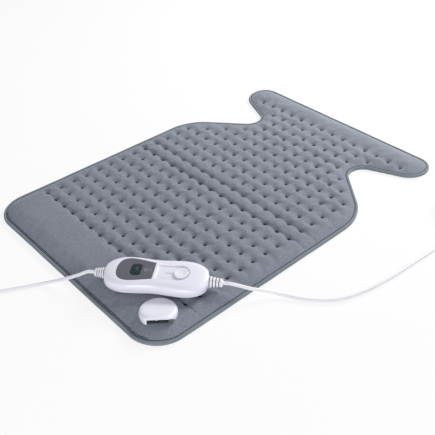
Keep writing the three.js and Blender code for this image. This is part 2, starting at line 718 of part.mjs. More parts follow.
function addSocket() {
  const bottom = restOnPad;
  const floor = bottom + SOCKET_BASE_THICKNESS;
  const slotBottom = floor + CLEARANCE;
  const slotTop = slotBottom + SOCKET_SLOT_HEIGHT;
  const roomy = SOCKET_DIAMETER + 2 * CUT_MARGIN;
  const mouth = SOCKET_MOUTH_OFFSET;
  const beyondMouth = box(roomy, roomy, bottom - CUT_MARGIN, bottom + roomy, mouth + roomy / 2);
  const slotBack = mouth - SOCKET_SLOT_DEPTH;
  const blockBack = slotBack - CONTACT_BLOCK_DEPTH;

  const outer = hood(SOCKET_DIAMETER, SOCKET_RIM, HOOD_REACHES, HOOD_SIDES).translate(0, 0, bottom);
  const innerDiameter = SOCKET_DIAMETER - 2 * SOCKET_WALL;
  const inner = hood(innerDiameter, SOCKET_RIM - SOCKET_WALL, HOOD_INNER_REACHES, HOOD_INNER_SIDES)
    .translate(0, 0, bottom - CLEARANCE);
  const behindWall = box(roomy, roomy, bottom - CUT_MARGIN, bottom + roomy, mouth - SOCKET_WALL + roomy / 2);
  const hollow = cut(inner, behindWall);
  const skirtDiameter = SOCKET_BASE_DIAMETER + 2 * CLEARANCE;
  const skirt = post(skirtDiameter, bottom - CUT_MARGIN, floor + CLEARANCE, 0, 0, BASE_PLATE_SIDES);
  const pocketBack = blockBack - CLEARANCE;
  const pocketFront = mouth + CUT_MARGIN;
  const pocket = box(pocketFront - pocketBack, SOCKET_SLOT_WIDTH, bottom - CUT_MARGIN, slotTop,
    (pocketBack + pocketFront) / 2);
  addPiece('socket_cover', cut(outer, beyondMouth, hollow, cut(skirt, behindWall), pocket),
    'whitePlastic', socketFrame);

  const basePlate = post(SOCKET_BASE_DIAMETER, bottom, floor, 0, 0, BASE_PLATE_SIDES);
  const baseMouth = box(roomy, roomy, bottom - CUT_MARGIN, floor + CUT_MARGIN,
    mouth - SOCKET_WALL - CLEARANCE + roomy / 2);
  const holeDiameter = SCREW_SHANK_DIAMETER + 2 * CLEARANCE;
  const screwHoles = socketScrewPlaces().map(({ local }) => (
    post(holeDiameter, bottom - CUT_MARGIN, floor + CUT_MARGIN, local.x, local.y, HOLE_SIDES)
  ));
  const sill = box(2 * SOCKET_WALL, SOCKET_SLOT_WIDTH - 2 * CLEARANCE, bottom, floor, mouth - SOCKET_WALL);
  addPiece('socket_base', join(cut(basePlate, baseMouth, ...screwHoles), sill), 'greyPanel', socketFrame);

  const block = box(CONTACT_BLOCK_DEPTH, SOCKET_SLOT_WIDTH - 2 * CLEARANCE, slotBottom, slotTop - CLEARANCE,
    (slotBack + blockBack) / 2);
  addPiece('contact_block', block, 'darkPlastic', socketFrame);
  const contactZ = (slotBottom + slotTop) / 2;
  for (let i = 0; i < CONTACT_COUNT; i += 1) {
    const y = (i - (CONTACT_COUNT - 1) / 2) * CONTACT_PITCH;
    const root = slotBack + CLEARANCE;
    const pin = turned([
      [root, 0],
      [root, CONTACT_DIAMETER / 2],
      [root + CONTACT_LENGTH - CONTACT_DIAMETER / 4, CONTACT_DIAMETER / 2],
      [root + CONTACT_LENGTH, CONTACT_DIAMETER / 4],
      [root + CONTACT_LENGTH, 0],
    ], HOLE_SIDES);
    addPiece(`contact_pin_${i + 1}`, pin.translate(0, y, contactZ), 'metal', socketFrame);
  }

  const plateTop = cushionBottom - CLEARANCE;
  const plateBottom = plateTop - BACKPLATE_THICKNESS;
  const plateHoles = socketScrewPlaces().map(({ local }) => (
    circleOutline(holeDiameter, HOLE_SIDES, local.x, local.y)
  ));
  const disc = circleOutline(BACKPLATE_DIAMETER, BACKPLATE_SIDES);
  addPiece('socket_backplate', prism(disc, plateBottom, plateTop, plateHoles), 'darkPlastic', socketFrame);
  socketScrewPlaces().forEach(({ local }, i) => {
    const shape = screw(floor + CLEARANCE, plateBottom).translate(local.x, local.y, 0);
    addPiece(`socket_screw_${i + 1}`, shape, 'metal', socketFrame);
  });
}

// A pan-head screw standing on its tip, with its head above the seat.
function screw(seat, tip) {
  const profile = [
    [0, tip],
    [SCREW_SHANK_DIAMETER / 2, tip],
    [SCREW_SHANK_DIAMETER / 2, seat],
    [SCREW_HEAD_DIAMETER / 2, seat],
    [SCREW_HEAD_DIAMETER / 2, seat + SCREW_HEAD_HEIGHT / 2],
    [SCREW_HEAD_DIAMETER / 3, seat + SCREW_HEAD_HEIGHT],
    [0, seat + SCREW_HEAD_HEIGHT],
  ].map(([radius, height]) => new THREE.Vector2(radius, height));
  return new THREE.LatheGeometry(profile, SCREW_SIDES).rotateX(Math.PI / 2);
}

// Controller. Its own frame has +X from the display to the slide, and its underside at height 0.

const caseFrame = new THREE.Group();
caseFrame.position.set(caseX, caseY, restOnPad);
caseFrame.rotation.z = radians(CASE_ANGLE);
part.add(caseFrame);

const caseHalf = CASE_LENGTH / 2;
const topFace = CASE_HEIGHT - CASE_TOP_CUT;
const roofUnder = topFace - CASE_ROOF;
const boardTop = BOARD_HEIGHT + BOARD_THICKNESS;
const recessFloor = topFace - RECESS_DEPTH;
const panelFloor = topFace - PANEL_THICKNESS - 2 * CLEARANCE;
const screwTip = COUNTERBORE_DEPTH - CLEARANCE + SCREW_LENGTH;

// Half width of the case along its length: a waisted middle that rounds in to the noses.
function caseHalfWidth(u) {
  const past = Math.max(Math.abs(u) - CASE_ROUND_START, 0) / (caseHalf - CASE_ROUND_START);
  const round = Math.sqrt(Math.max(1 - past ** CASE_ROUND_POWER, 0));
  const pinch = Math.exp(-((u / CASE_WAIST_SPREAD) ** 2));
  const body = (CASE_END_WIDTH + (CASE_WAIST_WIDTH - CASE_END_WIDTH) * pinch) / 2;
  return CASE_NOSE_WIDTH / 2 + (body - CASE_NOSE_WIDTH / 2) * round;
}

// One superellipse section of the case, drawn in by the wall for the inside.
function caseSection(u, wall, sides) {
  const towardsEnd = Math.min(Math.abs(u) / caseHalf, 1);
  const half = caseHalfWidth(u) - wall;
  const top = CASE_HEIGHT - CASE_END_DROOP * towardsEnd ** 4 - wall;
  const bottom = CASE_END_RISE * towardsEnd ** 4 + wall;
  return Array.from({ length: sides }, (_, k) => {
    const angle = (2 * Math.PI * k) / sides;
    const share = 2 / CASE_SECTION_POWER;
    const across = Math.sign(Math.cos(angle)) * Math.abs(Math.cos(angle)) ** share;
    const rise = Math.sign(Math.sin(angle)) * Math.abs(Math.sin(angle)) ** share;
    const reach = rise > 0 ? top - PARTING_HEIGHT : PARTING_HEIGHT - bottom;
    return new THREE.Vector3(u, half * across, PARTING_HEIGHT + reach * rise);
  });
}

// The stations crowd towards the rounded noses.
function caseBody(wall, steps, sides) {
  const end = caseHalf - wall;
  const rings = Array.from({ length: steps + 1 }, (_, k) => {
    const share = (2 * k) / steps - 1;
    const u = end * Math.sin((Math.PI / 2) * share);
    return caseSection(u, wall, sides);
  });
  return skin(rings);
}

function panelOutline(grow) {
  const left = PANEL_LEFT - grow;
  const right = PANEL_RIGHT + grow;
  const wide = PANEL_WIDE_HALF + grow;
  const narrow = PANEL_NARROW_HALF + grow;
  const shape = new THREE.Shape();
  shape.moveTo(right, -narrow);
  shape.lineTo(right, narrow);
  shape.quadraticCurveTo((left + right) / 2, wide, left + PANEL_ROUND, wide);
  shape.quadraticCurveTo(left, wide, left, 0);
  shape.quadraticCurveTo(left, -wide, left + PANEL_ROUND, -wide);
  shape.quadraticCurveTo((left + right) / 2, -wide, right, -narrow);
  return shape.getPoints(PANEL_STEPS).slice(0, -1);
}

function windowOutline(grow) {
  const halfLength = WINDOW_LENGTH / 2 + grow;
  const halfWidth = WINDOW_WIDTH / 2 + grow;
  const corner = WINDOW_CHAMFER;
  return [[1, 1], [-1, 1], [-1, -1], [1, -1]].flatMap(([x, y]) => {
    const alongSide = new THREE.Vector2(WINDOW_U + x * halfLength, y * (halfWidth - corner));
    const alongEnd = new THREE.Vector2(WINDOW_U + x * (halfLength - corner), y * halfWidth);
    return x * y > 0 ? [alongSide, alongEnd] : [alongEnd, alongSide];
  });
}

// The slide's recess: square at the display, half round at the other end.
function recessOutline() {
  const half = RECESS_HALF_WIDTH;
  const centre = RECESS_RIGHT - half;
  const round = Array.from({ length: RECESS_STEPS + 1 }, (_, k) => {
    const angle = Math.PI * (k / RECESS_STEPS - 0.5);
    return new THREE.Vector2(centre + half * Math.cos(angle), half * Math.sin(angle));
  });
  return [new THREE.Vector2(RECESS_LEFT, -half), ...round, new THREE.Vector2(RECESS_LEFT, half)];
}

const casePlaces = [[1, 1], [-1, 1], [-1, -1], [1, -1]];

function addCase() {
  const roomy = CASE_LENGTH + 2 * CUT_MARGIN;
  const outer = caseBody(0, CASE_STEPS, CASE_SIDES);
  const inside = caseBody(CASE_WALL, CASE_INNER_STEPS, CASE_INNER_SIDES);
  const cavity = overlap(inside, box(roomy, roomy, 0, roofUnder));
  const boreLength = roomy + 2 * MAINS_BOOT_LENGTH;
  const bore = turned([
    [-boreLength / 2, 0],
    [-boreLength / 2, BOOT_NECK_DIAMETER / 2 + CLEARANCE],
    [boreLength / 2, BOOT_NECK_DIAMETER / 2 + CLEARANCE],
    [boreLength / 2, 0],
  ], BORE_SIDES).translate(0, 0, PARTING_HEIGHT);
  const hollow = cut(outer, cavity);

  // Lower shell: floor, posts for the board and bored bosses for the screws
  const lowerLimit = PARTING_HEIGHT - CLEARANCE / 2;
  const boardSeat = BOARD_HEIGHT - CLEARANCE;
  const boardPosts = casePlaces.map(([x, y]) => (
    post(BOARD_POST_DIAMETER, CASE_WALL / 2, boardSeat, x * BOARD_POST_U, y * BOARD_POST_V, POST_SIDES)
  ));
  const lowerBosses = casePlaces.map(([x, y]) => (
    post(BOSS_DIAMETER, CASE_WALL / 2, lowerLimit, x * CASE_SCREW_U, y * CASE_SCREW_V, POST_SIDES)
  ));
  const shankHole = SCREW_SHANK_DIAMETER + 2 * CLEARANCE;
  const headHole = SCREW_HEAD_DIAMETER + 2 * CLEARANCE;
  const lowerCuts = casePlaces.flatMap(([x, y]) => {
    const [atU, atV] = [x * CASE_SCREW_U, y * CASE_SCREW_V];
    return [
      post(shankHole, -CUT_MARGIN, PARTING_HEIGHT, atU, atV, SCREW_SIDES),
      post(headHole, -CUT_MARGIN, COUNTERBORE_DEPTH, atU, atV, POST_SIDES),
    ];
  });
  const lowerHalf = overlap(hollow, box(roomy, roomy, -CUT_MARGIN, lowerLimit));
  const lowerWhole = overlap(join(lowerHalf, ...boardPosts, ...lowerBosses), outer);
  addPiece('lower_shell', cut(lowerWhole, bore, ...lowerCuts), 'whitePlastic', caseFrame);

  // Upper shell: flat front, panel pocket, display opening, slide recess with its slot, screw bosses
  const upperLimit = PARTING_HEIGHT + CLEARANCE / 2;
  const upperBosses = casePlaces.map(([x, y]) => (
    post(BOSS_DIAMETER, upperLimit, roofUnder + CASE_ROOF / 4, x * CASE_SCREW_U, y * CASE_SCREW_V, POST_SIDES)
  ));
  const upperHalf = overlap(hollow, box(roomy, roomy, upperLimit, topFace));
  const pocket = prism(panelOutline(CLEARANCE), panelFloor, topFace + CUT_MARGIN);
  const display = prism(windowOutline(-DISPLAY_LEDGE), roofUnder - CUT_MARGIN, topFace);
  const recess = prism(recessOutline(), recessFloor, topFace + CUT_MARGIN);
  const slotLength = KNOB_TRAVEL + STEM_LENGTH + 2 * CLEARANCE;
  const slotWidth = STEM_WIDTH + 2 * CLEARANCE;
  const slot = box(slotLength, slotWidth, roofUnder - CUT_MARGIN, topFace, KNOB_U - KNOB_TRAVEL / 2);
  const pilots = casePlaces.map(([x, y]) => (
    post(shankHole, PARTING_HEIGHT - CUT_MARGIN, screwTip + CLEARANCE,
      x * CASE_SCREW_U, y * CASE_SCREW_V, SCREW_SIDES)
  ));
  const upperWhole = overlap(join(upperHalf, ...upperBosses), outer);
  const upperCuts = [pocket, display, recess, slot, bore, ...pilots];
  addPiece('upper_shell', cut(upperWhole, ...upperCuts), 'whitePlastic', caseFrame);

  casePlaces.forEach(([x, y], i) => {
    const shape = screw(CLEARANCE - COUNTERBORE_DEPTH, -screwTip).rotateX(Math.PI);
    shape.translate(x * CASE_SCREW_U, y * CASE_SCREW_V, 0);
    addPiece(`case_screw_${i + 1}`, shape, 'metal', caseFrame);
  });
}

function addFront() {
  const bottom = panelFloor + CLEARANCE;
  const top = bottom + PANEL_THICKNESS;
  const panel = prism(panelOutline(0), bottom, top, [windowOutline(CLEARANCE)]);
  addPiece('front_panel', panel, 'greyPanel', caseFrame);
  addPiece('display_window', prism(windowOutline(0), bottom, top), 'window', caseFrame);
  const module = prism(windowOutline(-DISPLAY_LEDGE - CLEARANCE), boardTop + CLEARANCE, panelFloor);
  addPiece('display_module', module, 'darkPlastic', caseFrame);
}

// The slide: a dished round knob on a stem, which pushes the carriage of the switch below it.
function addSlide() {
  const bottom = recessFloor + CLEARANCE;
  const top = bottom + KNOB_HEIGHT;
  const radius = KNOB_DIAMETER / 2;
  const profile = [
    [0, bottom],
    [radius, bottom],
    [radius, top - KNOB_DISH],
    [radius - KNOB_DISH, top],
    [KNOB_DISH_DIAMETER / 2, top],
    [KNOB_DISH_DIAMETER / 4, top - KNOB_DISH],
    [0, top - KNOB_DISH],
  ].map(([r, height]) => new THREE.Vector2(r, height));
  const cap = new THREE.LatheGeometry(profile, KNOB_SIDES).rotateX(Math.PI / 2).translate(KNOB_U, 0, 0);
  const switchBottom = boardTop + CLEARANCE;
  const switchTop = switchBottom + SWITCH_HEIGHT;
  const stem = box(STEM_LENGTH, STEM_WIDTH, switchTop + CLEARANCE, bottom + KNOB_DISH, KNOB_U);
  addPiece('slide_knob', join(cap, stem), 'whitePlastic', caseFrame);

  const middle = KNOB_U - KNOB_TRAVEL / 2;
  const grooveLength = KNOB_TRAVEL + CARRIAGE_LENGTH + 2 * CLEARANCE;
  const grooveBottom = switchBottom + SWITCH_FLOOR;
  const body = box(grooveLength + 2 * SWITCH_END, SWITCH_WIDTH, switchBottom, switchTop, middle);
  const grooveWidth = CARRIAGE_WIDTH + 2 * CLEARANCE;
  const groove = box(grooveLength, grooveWidth, grooveBottom, switchTop + CUT_MARGIN, middle);
  addPiece('slide_switch', cut(body, groove), 'darkPlastic', caseFrame);
  const carriage = box(CARRIAGE_LENGTH, CARRIAGE_WIDTH, grooveBottom + CLEARANCE, switchTop, KNOB_U);
  addPiece('switch_carriage', carriage, 'whitePlastic', caseFrame);
}

function addBoard() {
  addPiece('circuit_board', box(BOARD_LENGTH, BOARD_WIDTH, BOARD_HEIGHT, boardTop), 'board', caseFrame);
  const above = boardTop + CLEARANCE;
  const below = BOARD_HEIGHT - CLEARANCE;
  const chip = box(CHIP_SIZE, CHIP_SIZE, above, above + CHIP_HEIGHT, CHIP_U, CHIP_V);
  addPiece('control_chip', chip, 'darkPlastic', caseFrame);
  const capacitor = box(CAPACITOR_LENGTH, CAPACITOR_WIDTH, below - CAPACITOR_HEIGHT, below, CAPACITOR_U);
  addPiece('film_capacitor', capacitor, 'wire', caseFrame);
  const triac = box(TRIAC_LENGTH, TRIAC_WIDTH, below - TRIAC_HEIGHT, below, TRIAC_U, -TRIAC_V);
  addPiece('triac', triac, 'darkPlastic', caseFrame);
  const fuse = turned([
    [-FUSE_LENGTH / 2, 0],
    [-FUSE_LENGTH / 2, FUSE_DIAMETER / 2],
    [FUSE_LENGTH / 2, FUSE_DIAMETER / 2],
    [FUSE_LENGTH / 2, 0],
  ], POST_SIDES);
  addPiece('mains_fuse', fuse.translate(TRIAC_U, TRIAC_V, below - FUSE_DIAMETER / 2), 'metal', caseFrame);
  for (const [name, side] of [['pad_terminal', -1], ['mains_terminal', 1]]) {
    const terminal = box(TERMINAL_LENGTH, TERMINAL_WIDTH, below - TERMINAL_HEIGHT, below, side * TERMINAL_U);
    addPiece(name, terminal, 'board', caseFrame);
  }
}

// Ribbed strain relief along +X: a collar inside the wall, a neck through it, a tapering ribbed cone outside.
function ribbedBoot(wallOutside, length) {
  const collarEnd = wallOutside - CASE_WALL - CLEARANCE;
  const coneStart = wallOutside + CLEARANCE;
  const steps = [
    [collarEnd - BOOT_COLLAR_LENGTH, 0],
    [collarEnd - BOOT_COLLAR_LENGTH, BOOT_COLLAR_DIAMETER / 2],
    [collarEnd, BOOT_COLLAR_DIAMETER / 2],
    [collarEnd, BOOT_NECK_DIAMETER / 2],
    [coneStart, BOOT_NECK_DIAMETER / 2],
  ];
  const pitch = length / BOOT_RIBS;
  for (let k = 0; k < BOOT_RIBS; k += 1) {
    const share = k / (BOOT_RIBS - 1);
    const rib = THREE.MathUtils.lerp(BOOT_DIAMETER, BOOT_TIP_DIAMETER, share) / 2;
    const groove = rib - BOOT_GROOVE;
    const start = coneStart + k * pitch;
    steps.push([start, rib], [start + pitch * BOOT_RIB_SHARE, rib]);
    if (k < BOOT_RIBS - 1) steps.push([start + pitch * BOOT_RIB_SHARE, groove], [start + pitch, groove]);
  }
  const tip = coneStart + length;
  steps.push([tip, BOOT_TIP_DIAMETER / 2], [tip, 0]);
  return turned(steps, BOOT_SIDES);
}

function addBoots() {
  const mains = ribbedBoot(caseHalf, MAINS_BOOT_LENGTH).translate(0, 0, PARTING_HEIGHT);
  const pad = ribbedBoot(caseHalf, PAD_BOOT_LENGTH).rotateZ(Math.PI).translate(0, 0, PARTING_HEIGHT);
  addPiece('mains_lead_boot', mains, 'whitePlastic', caseFrame);
  addPiece('pad_lead_boot', pad, 'whitePlastic', caseFrame);
}

// Leads. Each leaves its boot, comes down over the pad's rim, runs on the floor and is put away in a coil.

const floorLine = cordRadius + CLEARANCE;
const coilLine = floorLine + TIE_THICKNESS + CLEARANCE;

// Points that the mains lead passes after its boot, up to its coil
const mainsRoute = [
  [213.5, -145, 15.6], [230.3, -125, 8.2], [246.5, -111.3, 3.7], [263, -101, floorLine],
  [279, -89, floorLine], [292, -76, floorLine], [303, -60, floorLine], [311, -40, floorLine],
  [317, -17, floorLine], [321, 9, floorLine], [324, 36, floorLine], [326, 66, floorLine],
  [328, 94, floorLine], [329.4, 122, floorLine], [330.2, 150, floorLine], [330.5, 180, floorLine],
];
const mainsCoil = {
  x: 297.5, y: 239, entry: 0, spin: 1, tie: 0.5,
  radius: MAINS_COIL_RADIUS, turns: MAINS_COIL_TURNS, layers: MAINS_COIL_LAYERS,
};

// Points that the pad lead passes after its boot, up to its coil
const padRoute = [
  [33.5, -301.2, 18.9], [26.8, -308.5, 15.2], [20.9, -315.1, 12.2], [14.6, -321.5, 9.2], [8.2, -327.7, 6.6],
  [2.4, -334.3, 4.5], [-2.7, -341.1, 3.2], [-7, -348.3, floorLine], [-14.2, -363.1, floorLine],
  [-21.7, -377.5, floorLine], [-29.4, -391.8, floorLine], [-36, -404.6, floorLine],
];
const padCoil = {
  x: -73.4, y: -409.7, entry: -28.95, spin: -1, tie: 0.15,
  radius: PAD_COIL_RADIUS, turns: PAD_COIL_TURNS, layers: PAD_COIL_LAYERS,
};

// A tube of the cord's section on a smooth curve, with a ring every few diameters.
function cordTube(points) {
  const curve = new THREE.CatmullRomCurve3(points, false, 'centripetal');
  const section = new THREE.Shape(circleOutline(CORD_DIAMETER, CORD_SIDES));
  const steps = Math.ceil(curve.getLength() / CORD_STEP);
  return new THREE.ExtrudeGeometry(section, { steps, extrudePath: curve, bevelEnabled: false });
}

// Place on the wound cord after some turns: the spiral runs in on one layer and out on the next, at a
// steady rate, and climbs a layer in the half turn where it reverses.
function coilPoint(coil, turns) {
  const perLayer = coil.turns / coil.layers;
  const along = turns / perLayer;
  const inLayer = along % 2;
  const inward = perLayer * (inLayer < 1 ? inLayer : 2 - inLayer);
  let climbed = 0;
  for (let layer = 1; layer < coil.layers; layer += 1) {
    const reversal = layer * perLayer;
    climbed += smoothstep(turns, reversal - 0.25, reversal + 0.25);
  }
  const angle = radians(coil.entry) + coil.spin * 2 * Math.PI * turns;
  const radius = coil.radius - COIL_PITCH * inward;
  return new THREE.Vector3(
    coil.x + radius * Math.cos(angle),
    coil.y + radius * Math.sin(angle),
    coilLine + COIL_LAYER_PITCH * climbed,
  );
}

function coilHeading(coil, turns) {
  const angle = radians(coil.entry) + coil.spin * 2 * Math.PI * turns;
  return new THREE.Vector3(-Math.sin(angle), Math.cos(angle), 0).multiplyScalar(coil.spin);
}

// The wound points, with one straight diameter at each end.
function coilPoints(coil) {
  const steps = Math.ceil(coil.turns * COIL_STEPS);
  const wound = Array.from({ length: steps + 1 }, (_, k) => coilPoint(coil, (coil.turns * k) / steps));
  const first = wound[0].clone().addScaledVector(coilHeading(coil, 0), -CORD_DIAMETER);
  const last = wound.at(-1).clone().addScaledVector(coilHeading(coil, coil.turns), CORD_DIAMETER);
  return [first, ...wound, last];
}

// Least distance between turns that lie over half a turn apart along the cord, less its diameter.
function coilGap(points) {
  let least = Infinity;
  points.forEach((a, i) => {
    for (let j = i + COIL_STEPS / 2; j < points.length; j += 1) {
      least = Math.min(least, a.distanceTo(points[j]));
    }
  });
  return least - CORD_DIAMETER;
}

// A flat strap closed round the bundle of turns at one place of the coil.
function coilTie(coil) {
  const perLayer = coil.turns / coil.layers;
  const innerTurn = coil.radius - COIL_PITCH * perLayer - cordRadius;
  const inner = Math.sqrt(innerTurn ** 2 - (TIE_WIDTH / 2) ** 2) - CLEARANCE;
  const outer = coil.radius + cordRadius + CLEARANCE;
  const bottom = coilLine - cordRadius - CLEARANCE;
  const top = coilLine + COIL_LAYER_PITCH * (coil.layers - 1) + cordRadius + CLEARANCE;
  const frame = (grow) => [
    new THREE.Vector2(inner - grow, bottom - grow),
    new THREE.Vector2(outer + grow, bottom - grow),
    new THREE.Vector2(outer + grow, top + grow),
    new THREE.Vector2(inner - grow, top + grow),
  ];
  const strap = prism(frame(TIE_THICKNESS), -TIE_WIDTH / 2, TIE_WIDTH / 2, [frame(0)]);
  const angle = radians(coil.entry) + coil.spin * 2 * Math.PI * coil.tie;
  return strap.rotateX(Math.PI / 2).rotateZ(angle).translate(coil.x, coil.y, 0);
}

// One lead: the run from the boot, the coil with its tie, and the tail to what is on its end.
function addLead(name, side, bootLength, route, coil, tailLength, endHeight) {
  caseFrame.updateWorldMatrix(true, false);
  const tip = caseHalf + 2 * CLEARANCE + bootLength;
  const exit = new THREE.Vector3(side * tip, 0, PARTING_HEIGHT).applyMatrix4(caseFrame.matrixWorld);
  const straight = new THREE.Vector3(side * (tip + 2 * CORD_DIAMETER), 0, PARTING_HEIGHT)
    .applyMatrix4(caseFrame.matrixWorld);
  const wound = coilPoints(coil);
  const entryHeading = coilHeading(coil, 0);
  const runEnd = wound[0].clone().addScaledVector(entryHeading, -CLEARANCE);
  const beforeEnd = runEnd.clone().addScaledVector(entryHeading, -2 * CORD_DIAMETER);
  const middle = route.map(([x, y, z]) => new THREE.Vector3(x, y, z));
  addPiece(`${name}_cord`, cordTube([exit, straight, ...middle, beforeEnd, runEnd]), 'cord');

  addPiece(`${name}_coil`, tube(wound, CORD_DIAMETER, COIL_SIDES), 'cord');
  addPiece(`${name}_tie`, coilTie(coil), 'darkPlastic');
  console.log(`${name} coil, least gap to itself: ${coilGap(wound).toFixed(2)} mm`);

  const heading = coilHeading(coil, coil.turns);
  const tailStart = wound.at(-1).clone().addScaledVector(heading, CLEARANCE);
  const tailEnd = tailStart.clone().addScaledVector(heading, tailLength).setZ(endHeight);
  const tail = [
    tailStart,
    tailStart.clone().addScaledVector(heading, CORD_DIAMETER),
    tailEnd.clone().addScaledVector(heading, -CORD_DIAMETER),
    tailEnd,
  ];
  addPiece(`${name}_tail`, cordTube(tail), 'cord');

  const endFrame = new THREE.Group();
  endFrame.position.copy(tailEnd).addScaledVector(heading, CLEARANCE);
  endFrame.rotation.z = Math.atan2(heading.y, heading.x);
  part.add(endFrame);
  return endFrame;
}

// A rectangle with rounded corners, square to X, centred on the axis.
function roundedRing(x, width, height, radius) {
  const corners = [[1, 1], [-1, 1], [-1, -1], [1, -1]];
  return corners.flatMap(([a, b], quarter) => [0, 0.5, 1].map((share) => {
    const angle = (Math.PI / 2) * (quarter + share);
    const y = a * (width / 2 - radius) + radius * Math.cos(angle);
    const z = b * (height / 2 - radius) + radius * Math.sin(angle);
    return new THREE.Vector3(x, y, z);
  }));
}

// Smooth tapered boot from the cord to a plug's back.
function plugBoot(length, backDiameter) {
  return turned([
    [0, 0],
    [0, PLUG_BOOT_TIP_DIAMETER / 2],
    [length, backDiameter / 2],
    [length, 0],
  ], POST_SIDES);
}

function addMainsPlug(frame) {
  addPiece('mains_plug_boot', plugBoot(PLUG_BOOT_LENGTH, PLUG_BOOT_DIAMETER), 'whitePlastic', frame);
  const back = PLUG_BOOT_LENGTH + CLEARANCE;
  const face = back + PLUG_LENGTH;
  const body = skin([
    roundedRing(back, PLUG_BACK_WIDTH, PLUG_HEIGHT - 2 * PLUG_ROUND, PLUG_ROUND),
    roundedRing(back + PLUG_LENGTH / 2, (PLUG_BACK_WIDTH + PLUG_FACE_WIDTH) / 2, PLUG_HEIGHT, PLUG_ROUND),
    roundedRing(face - PLUG_ROUND, PLUG_FACE_WIDTH, PLUG_HEIGHT, PLUG_ROUND),
    roundedRing(face, PLUG_FACE_WIDTH, PLUG_HEIGHT, PLUG_ROUND),
  ]);
  addPiece('mains_plug', body, 'whitePlastic', frame);
  [-1, 1].forEach((side, i) => {
    const start = face + CLEARANCE;
    const pin = turned([
      [start, 0],
      [start, PLUG_PIN_DIAMETER / 2],
      [start + PLUG_PIN_LENGTH - PLUG_PIN_DIAMETER / 4, PLUG_PIN_DIAMETER / 2],
      [start + PLUG_PIN_LENGTH, PLUG_PIN_DIAMETER / 4],
      [start + PLUG_PIN_LENGTH, 0],
    ], PLUG_PIN_SIDES);
    addPiece(`mains_plug_pin_${i + 1}`, pin.translate(0, (side * PLUG_PIN_SPACING) / 2, 0), 'metal', frame);
  });
}

// The connector that goes into the pad's socket: a grip with a flat tongue bored for the contact pins.
function addPadConnector(frame) {
  addPiece('pad_connector_boot', plugBoot(PLUG_BOOT_LENGTH, CONNECTOR_BOOT_DIAMETER), 'whitePlastic', frame);
  const back = PLUG_BOOT_LENGTH + CLEARANCE;
  const face = back + CONNECTOR_LENGTH;
  const tip = face + TONGUE_LENGTH;
  const grip = skin([
    roundedRing(back, CONNECTOR_BACK_WIDTH, CONNECTOR_HEIGHT - CONNECTOR_ROUND, CONNECTOR_ROUND),
    roundedRing(back + CONNECTOR_LENGTH / 2, CONNECTOR_WIDTH, CONNECTOR_HEIGHT, CONNECTOR_ROUND),
    roundedRing(face, CONNECTOR_WIDTH, CONNECTOR_HEIGHT, CONNECTOR_ROUND),
  ]);
  const tongueWidth = SOCKET_SLOT_WIDTH - 2 * CLEARANCE;
  const tongueHeight = SOCKET_SLOT_HEIGHT - 2 * CLEARANCE;
  const root = face - CONNECTOR_ROUND;
  const tongue = box(tip - root, tongueWidth, -tongueHeight / 2, tongueHeight / 2, (root + tip) / 2);
  const bores = Array.from({ length: CONTACT_COUNT }, (_, i) => {
    const y = (i - (CONTACT_COUNT - 1) / 2) * CONTACT_PITCH;
    const radius = CONTACT_DIAMETER / 2 + CLEARANCE;
    const start = tip - CONTACT_LENGTH - 2 * CLEARANCE;
    const end = tip + CUT_MARGIN;
    const bore = turned([[start, 0], [start, radius], [end, radius], [end, 0]], HOLE_SIDES);
    return bore.translate(0, y, 0);
  });
  addPiece('pad_connector', cut(join(grip, tongue), ...bores), 'whitePlastic', frame);
}

addPadLayers();
addHeatingCircuit();
addSocket();
addCase();
addFront();
addSlide();
addBoard();
addBoots();
const plugLine = PLUG_HEIGHT / 2 + CLEARANCE;
const mainsEnd = addLead(
  'mains_lead', 1, MAINS_BOOT_LENGTH, mainsRoute, mainsCoil, MAINS_TAIL_LENGTH, plugLine,
);
addMainsPlug(mainsEnd);
const connectorLine = CONNECTOR_HEIGHT / 2 + CLEARANCE;
const padEnd = addLead(
  'pad_lead', -1, PAD_BOOT_LENGTH, padRoute, padCoil, PAD_TAIL_LENGTH, connectorLine,
);
addPadConnector(padEnd);

export default part;
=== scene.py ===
import json
import math

import bmesh
import bpy
import numpy as np
from mathutils import Matrix


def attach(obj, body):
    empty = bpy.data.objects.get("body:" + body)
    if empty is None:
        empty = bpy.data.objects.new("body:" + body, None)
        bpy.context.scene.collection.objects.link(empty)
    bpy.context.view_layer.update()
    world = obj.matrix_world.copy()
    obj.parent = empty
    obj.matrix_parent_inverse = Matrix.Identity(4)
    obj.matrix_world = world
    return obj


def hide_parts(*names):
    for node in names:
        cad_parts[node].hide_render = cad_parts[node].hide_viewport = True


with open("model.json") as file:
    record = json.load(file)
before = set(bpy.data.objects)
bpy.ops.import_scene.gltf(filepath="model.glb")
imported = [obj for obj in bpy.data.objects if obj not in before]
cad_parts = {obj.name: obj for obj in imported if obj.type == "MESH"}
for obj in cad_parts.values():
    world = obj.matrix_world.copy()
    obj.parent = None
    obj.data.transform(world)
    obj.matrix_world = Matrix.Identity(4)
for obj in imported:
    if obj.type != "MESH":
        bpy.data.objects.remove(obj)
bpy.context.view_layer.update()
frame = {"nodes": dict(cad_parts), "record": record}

scene = bpy.context.scene
millimetre = 0.001


def addObject(name, data):
    added = bpy.data.objects.new(name, data)
    scene.collection.objects.link(added)
    return added


# A camera or lamp at a place, with its axes along three directions
def standObject(name, data, right, up, back, place):
    stood = addObject(name, data)
    axes = np.column_stack([right, up, back, place])
    stood.matrix_world = Matrix(np.vstack([axes, [0, 0, 0, 1]]).tolist())
    return stood


# Camera, at the photograph's viewing angle

cameraSetup = {
    "place": (0.6833, -0.6142, 0.6459),
    "right": (0.67116, 0.74107, -0.01894),
    "up": (-0.44102, 0.41968, 0.79333),
    "back": (0.59586, -0.52410, 0.60850),
    "lens": 55.70, "sensor": 36.0, "nearest": 0.01,
}


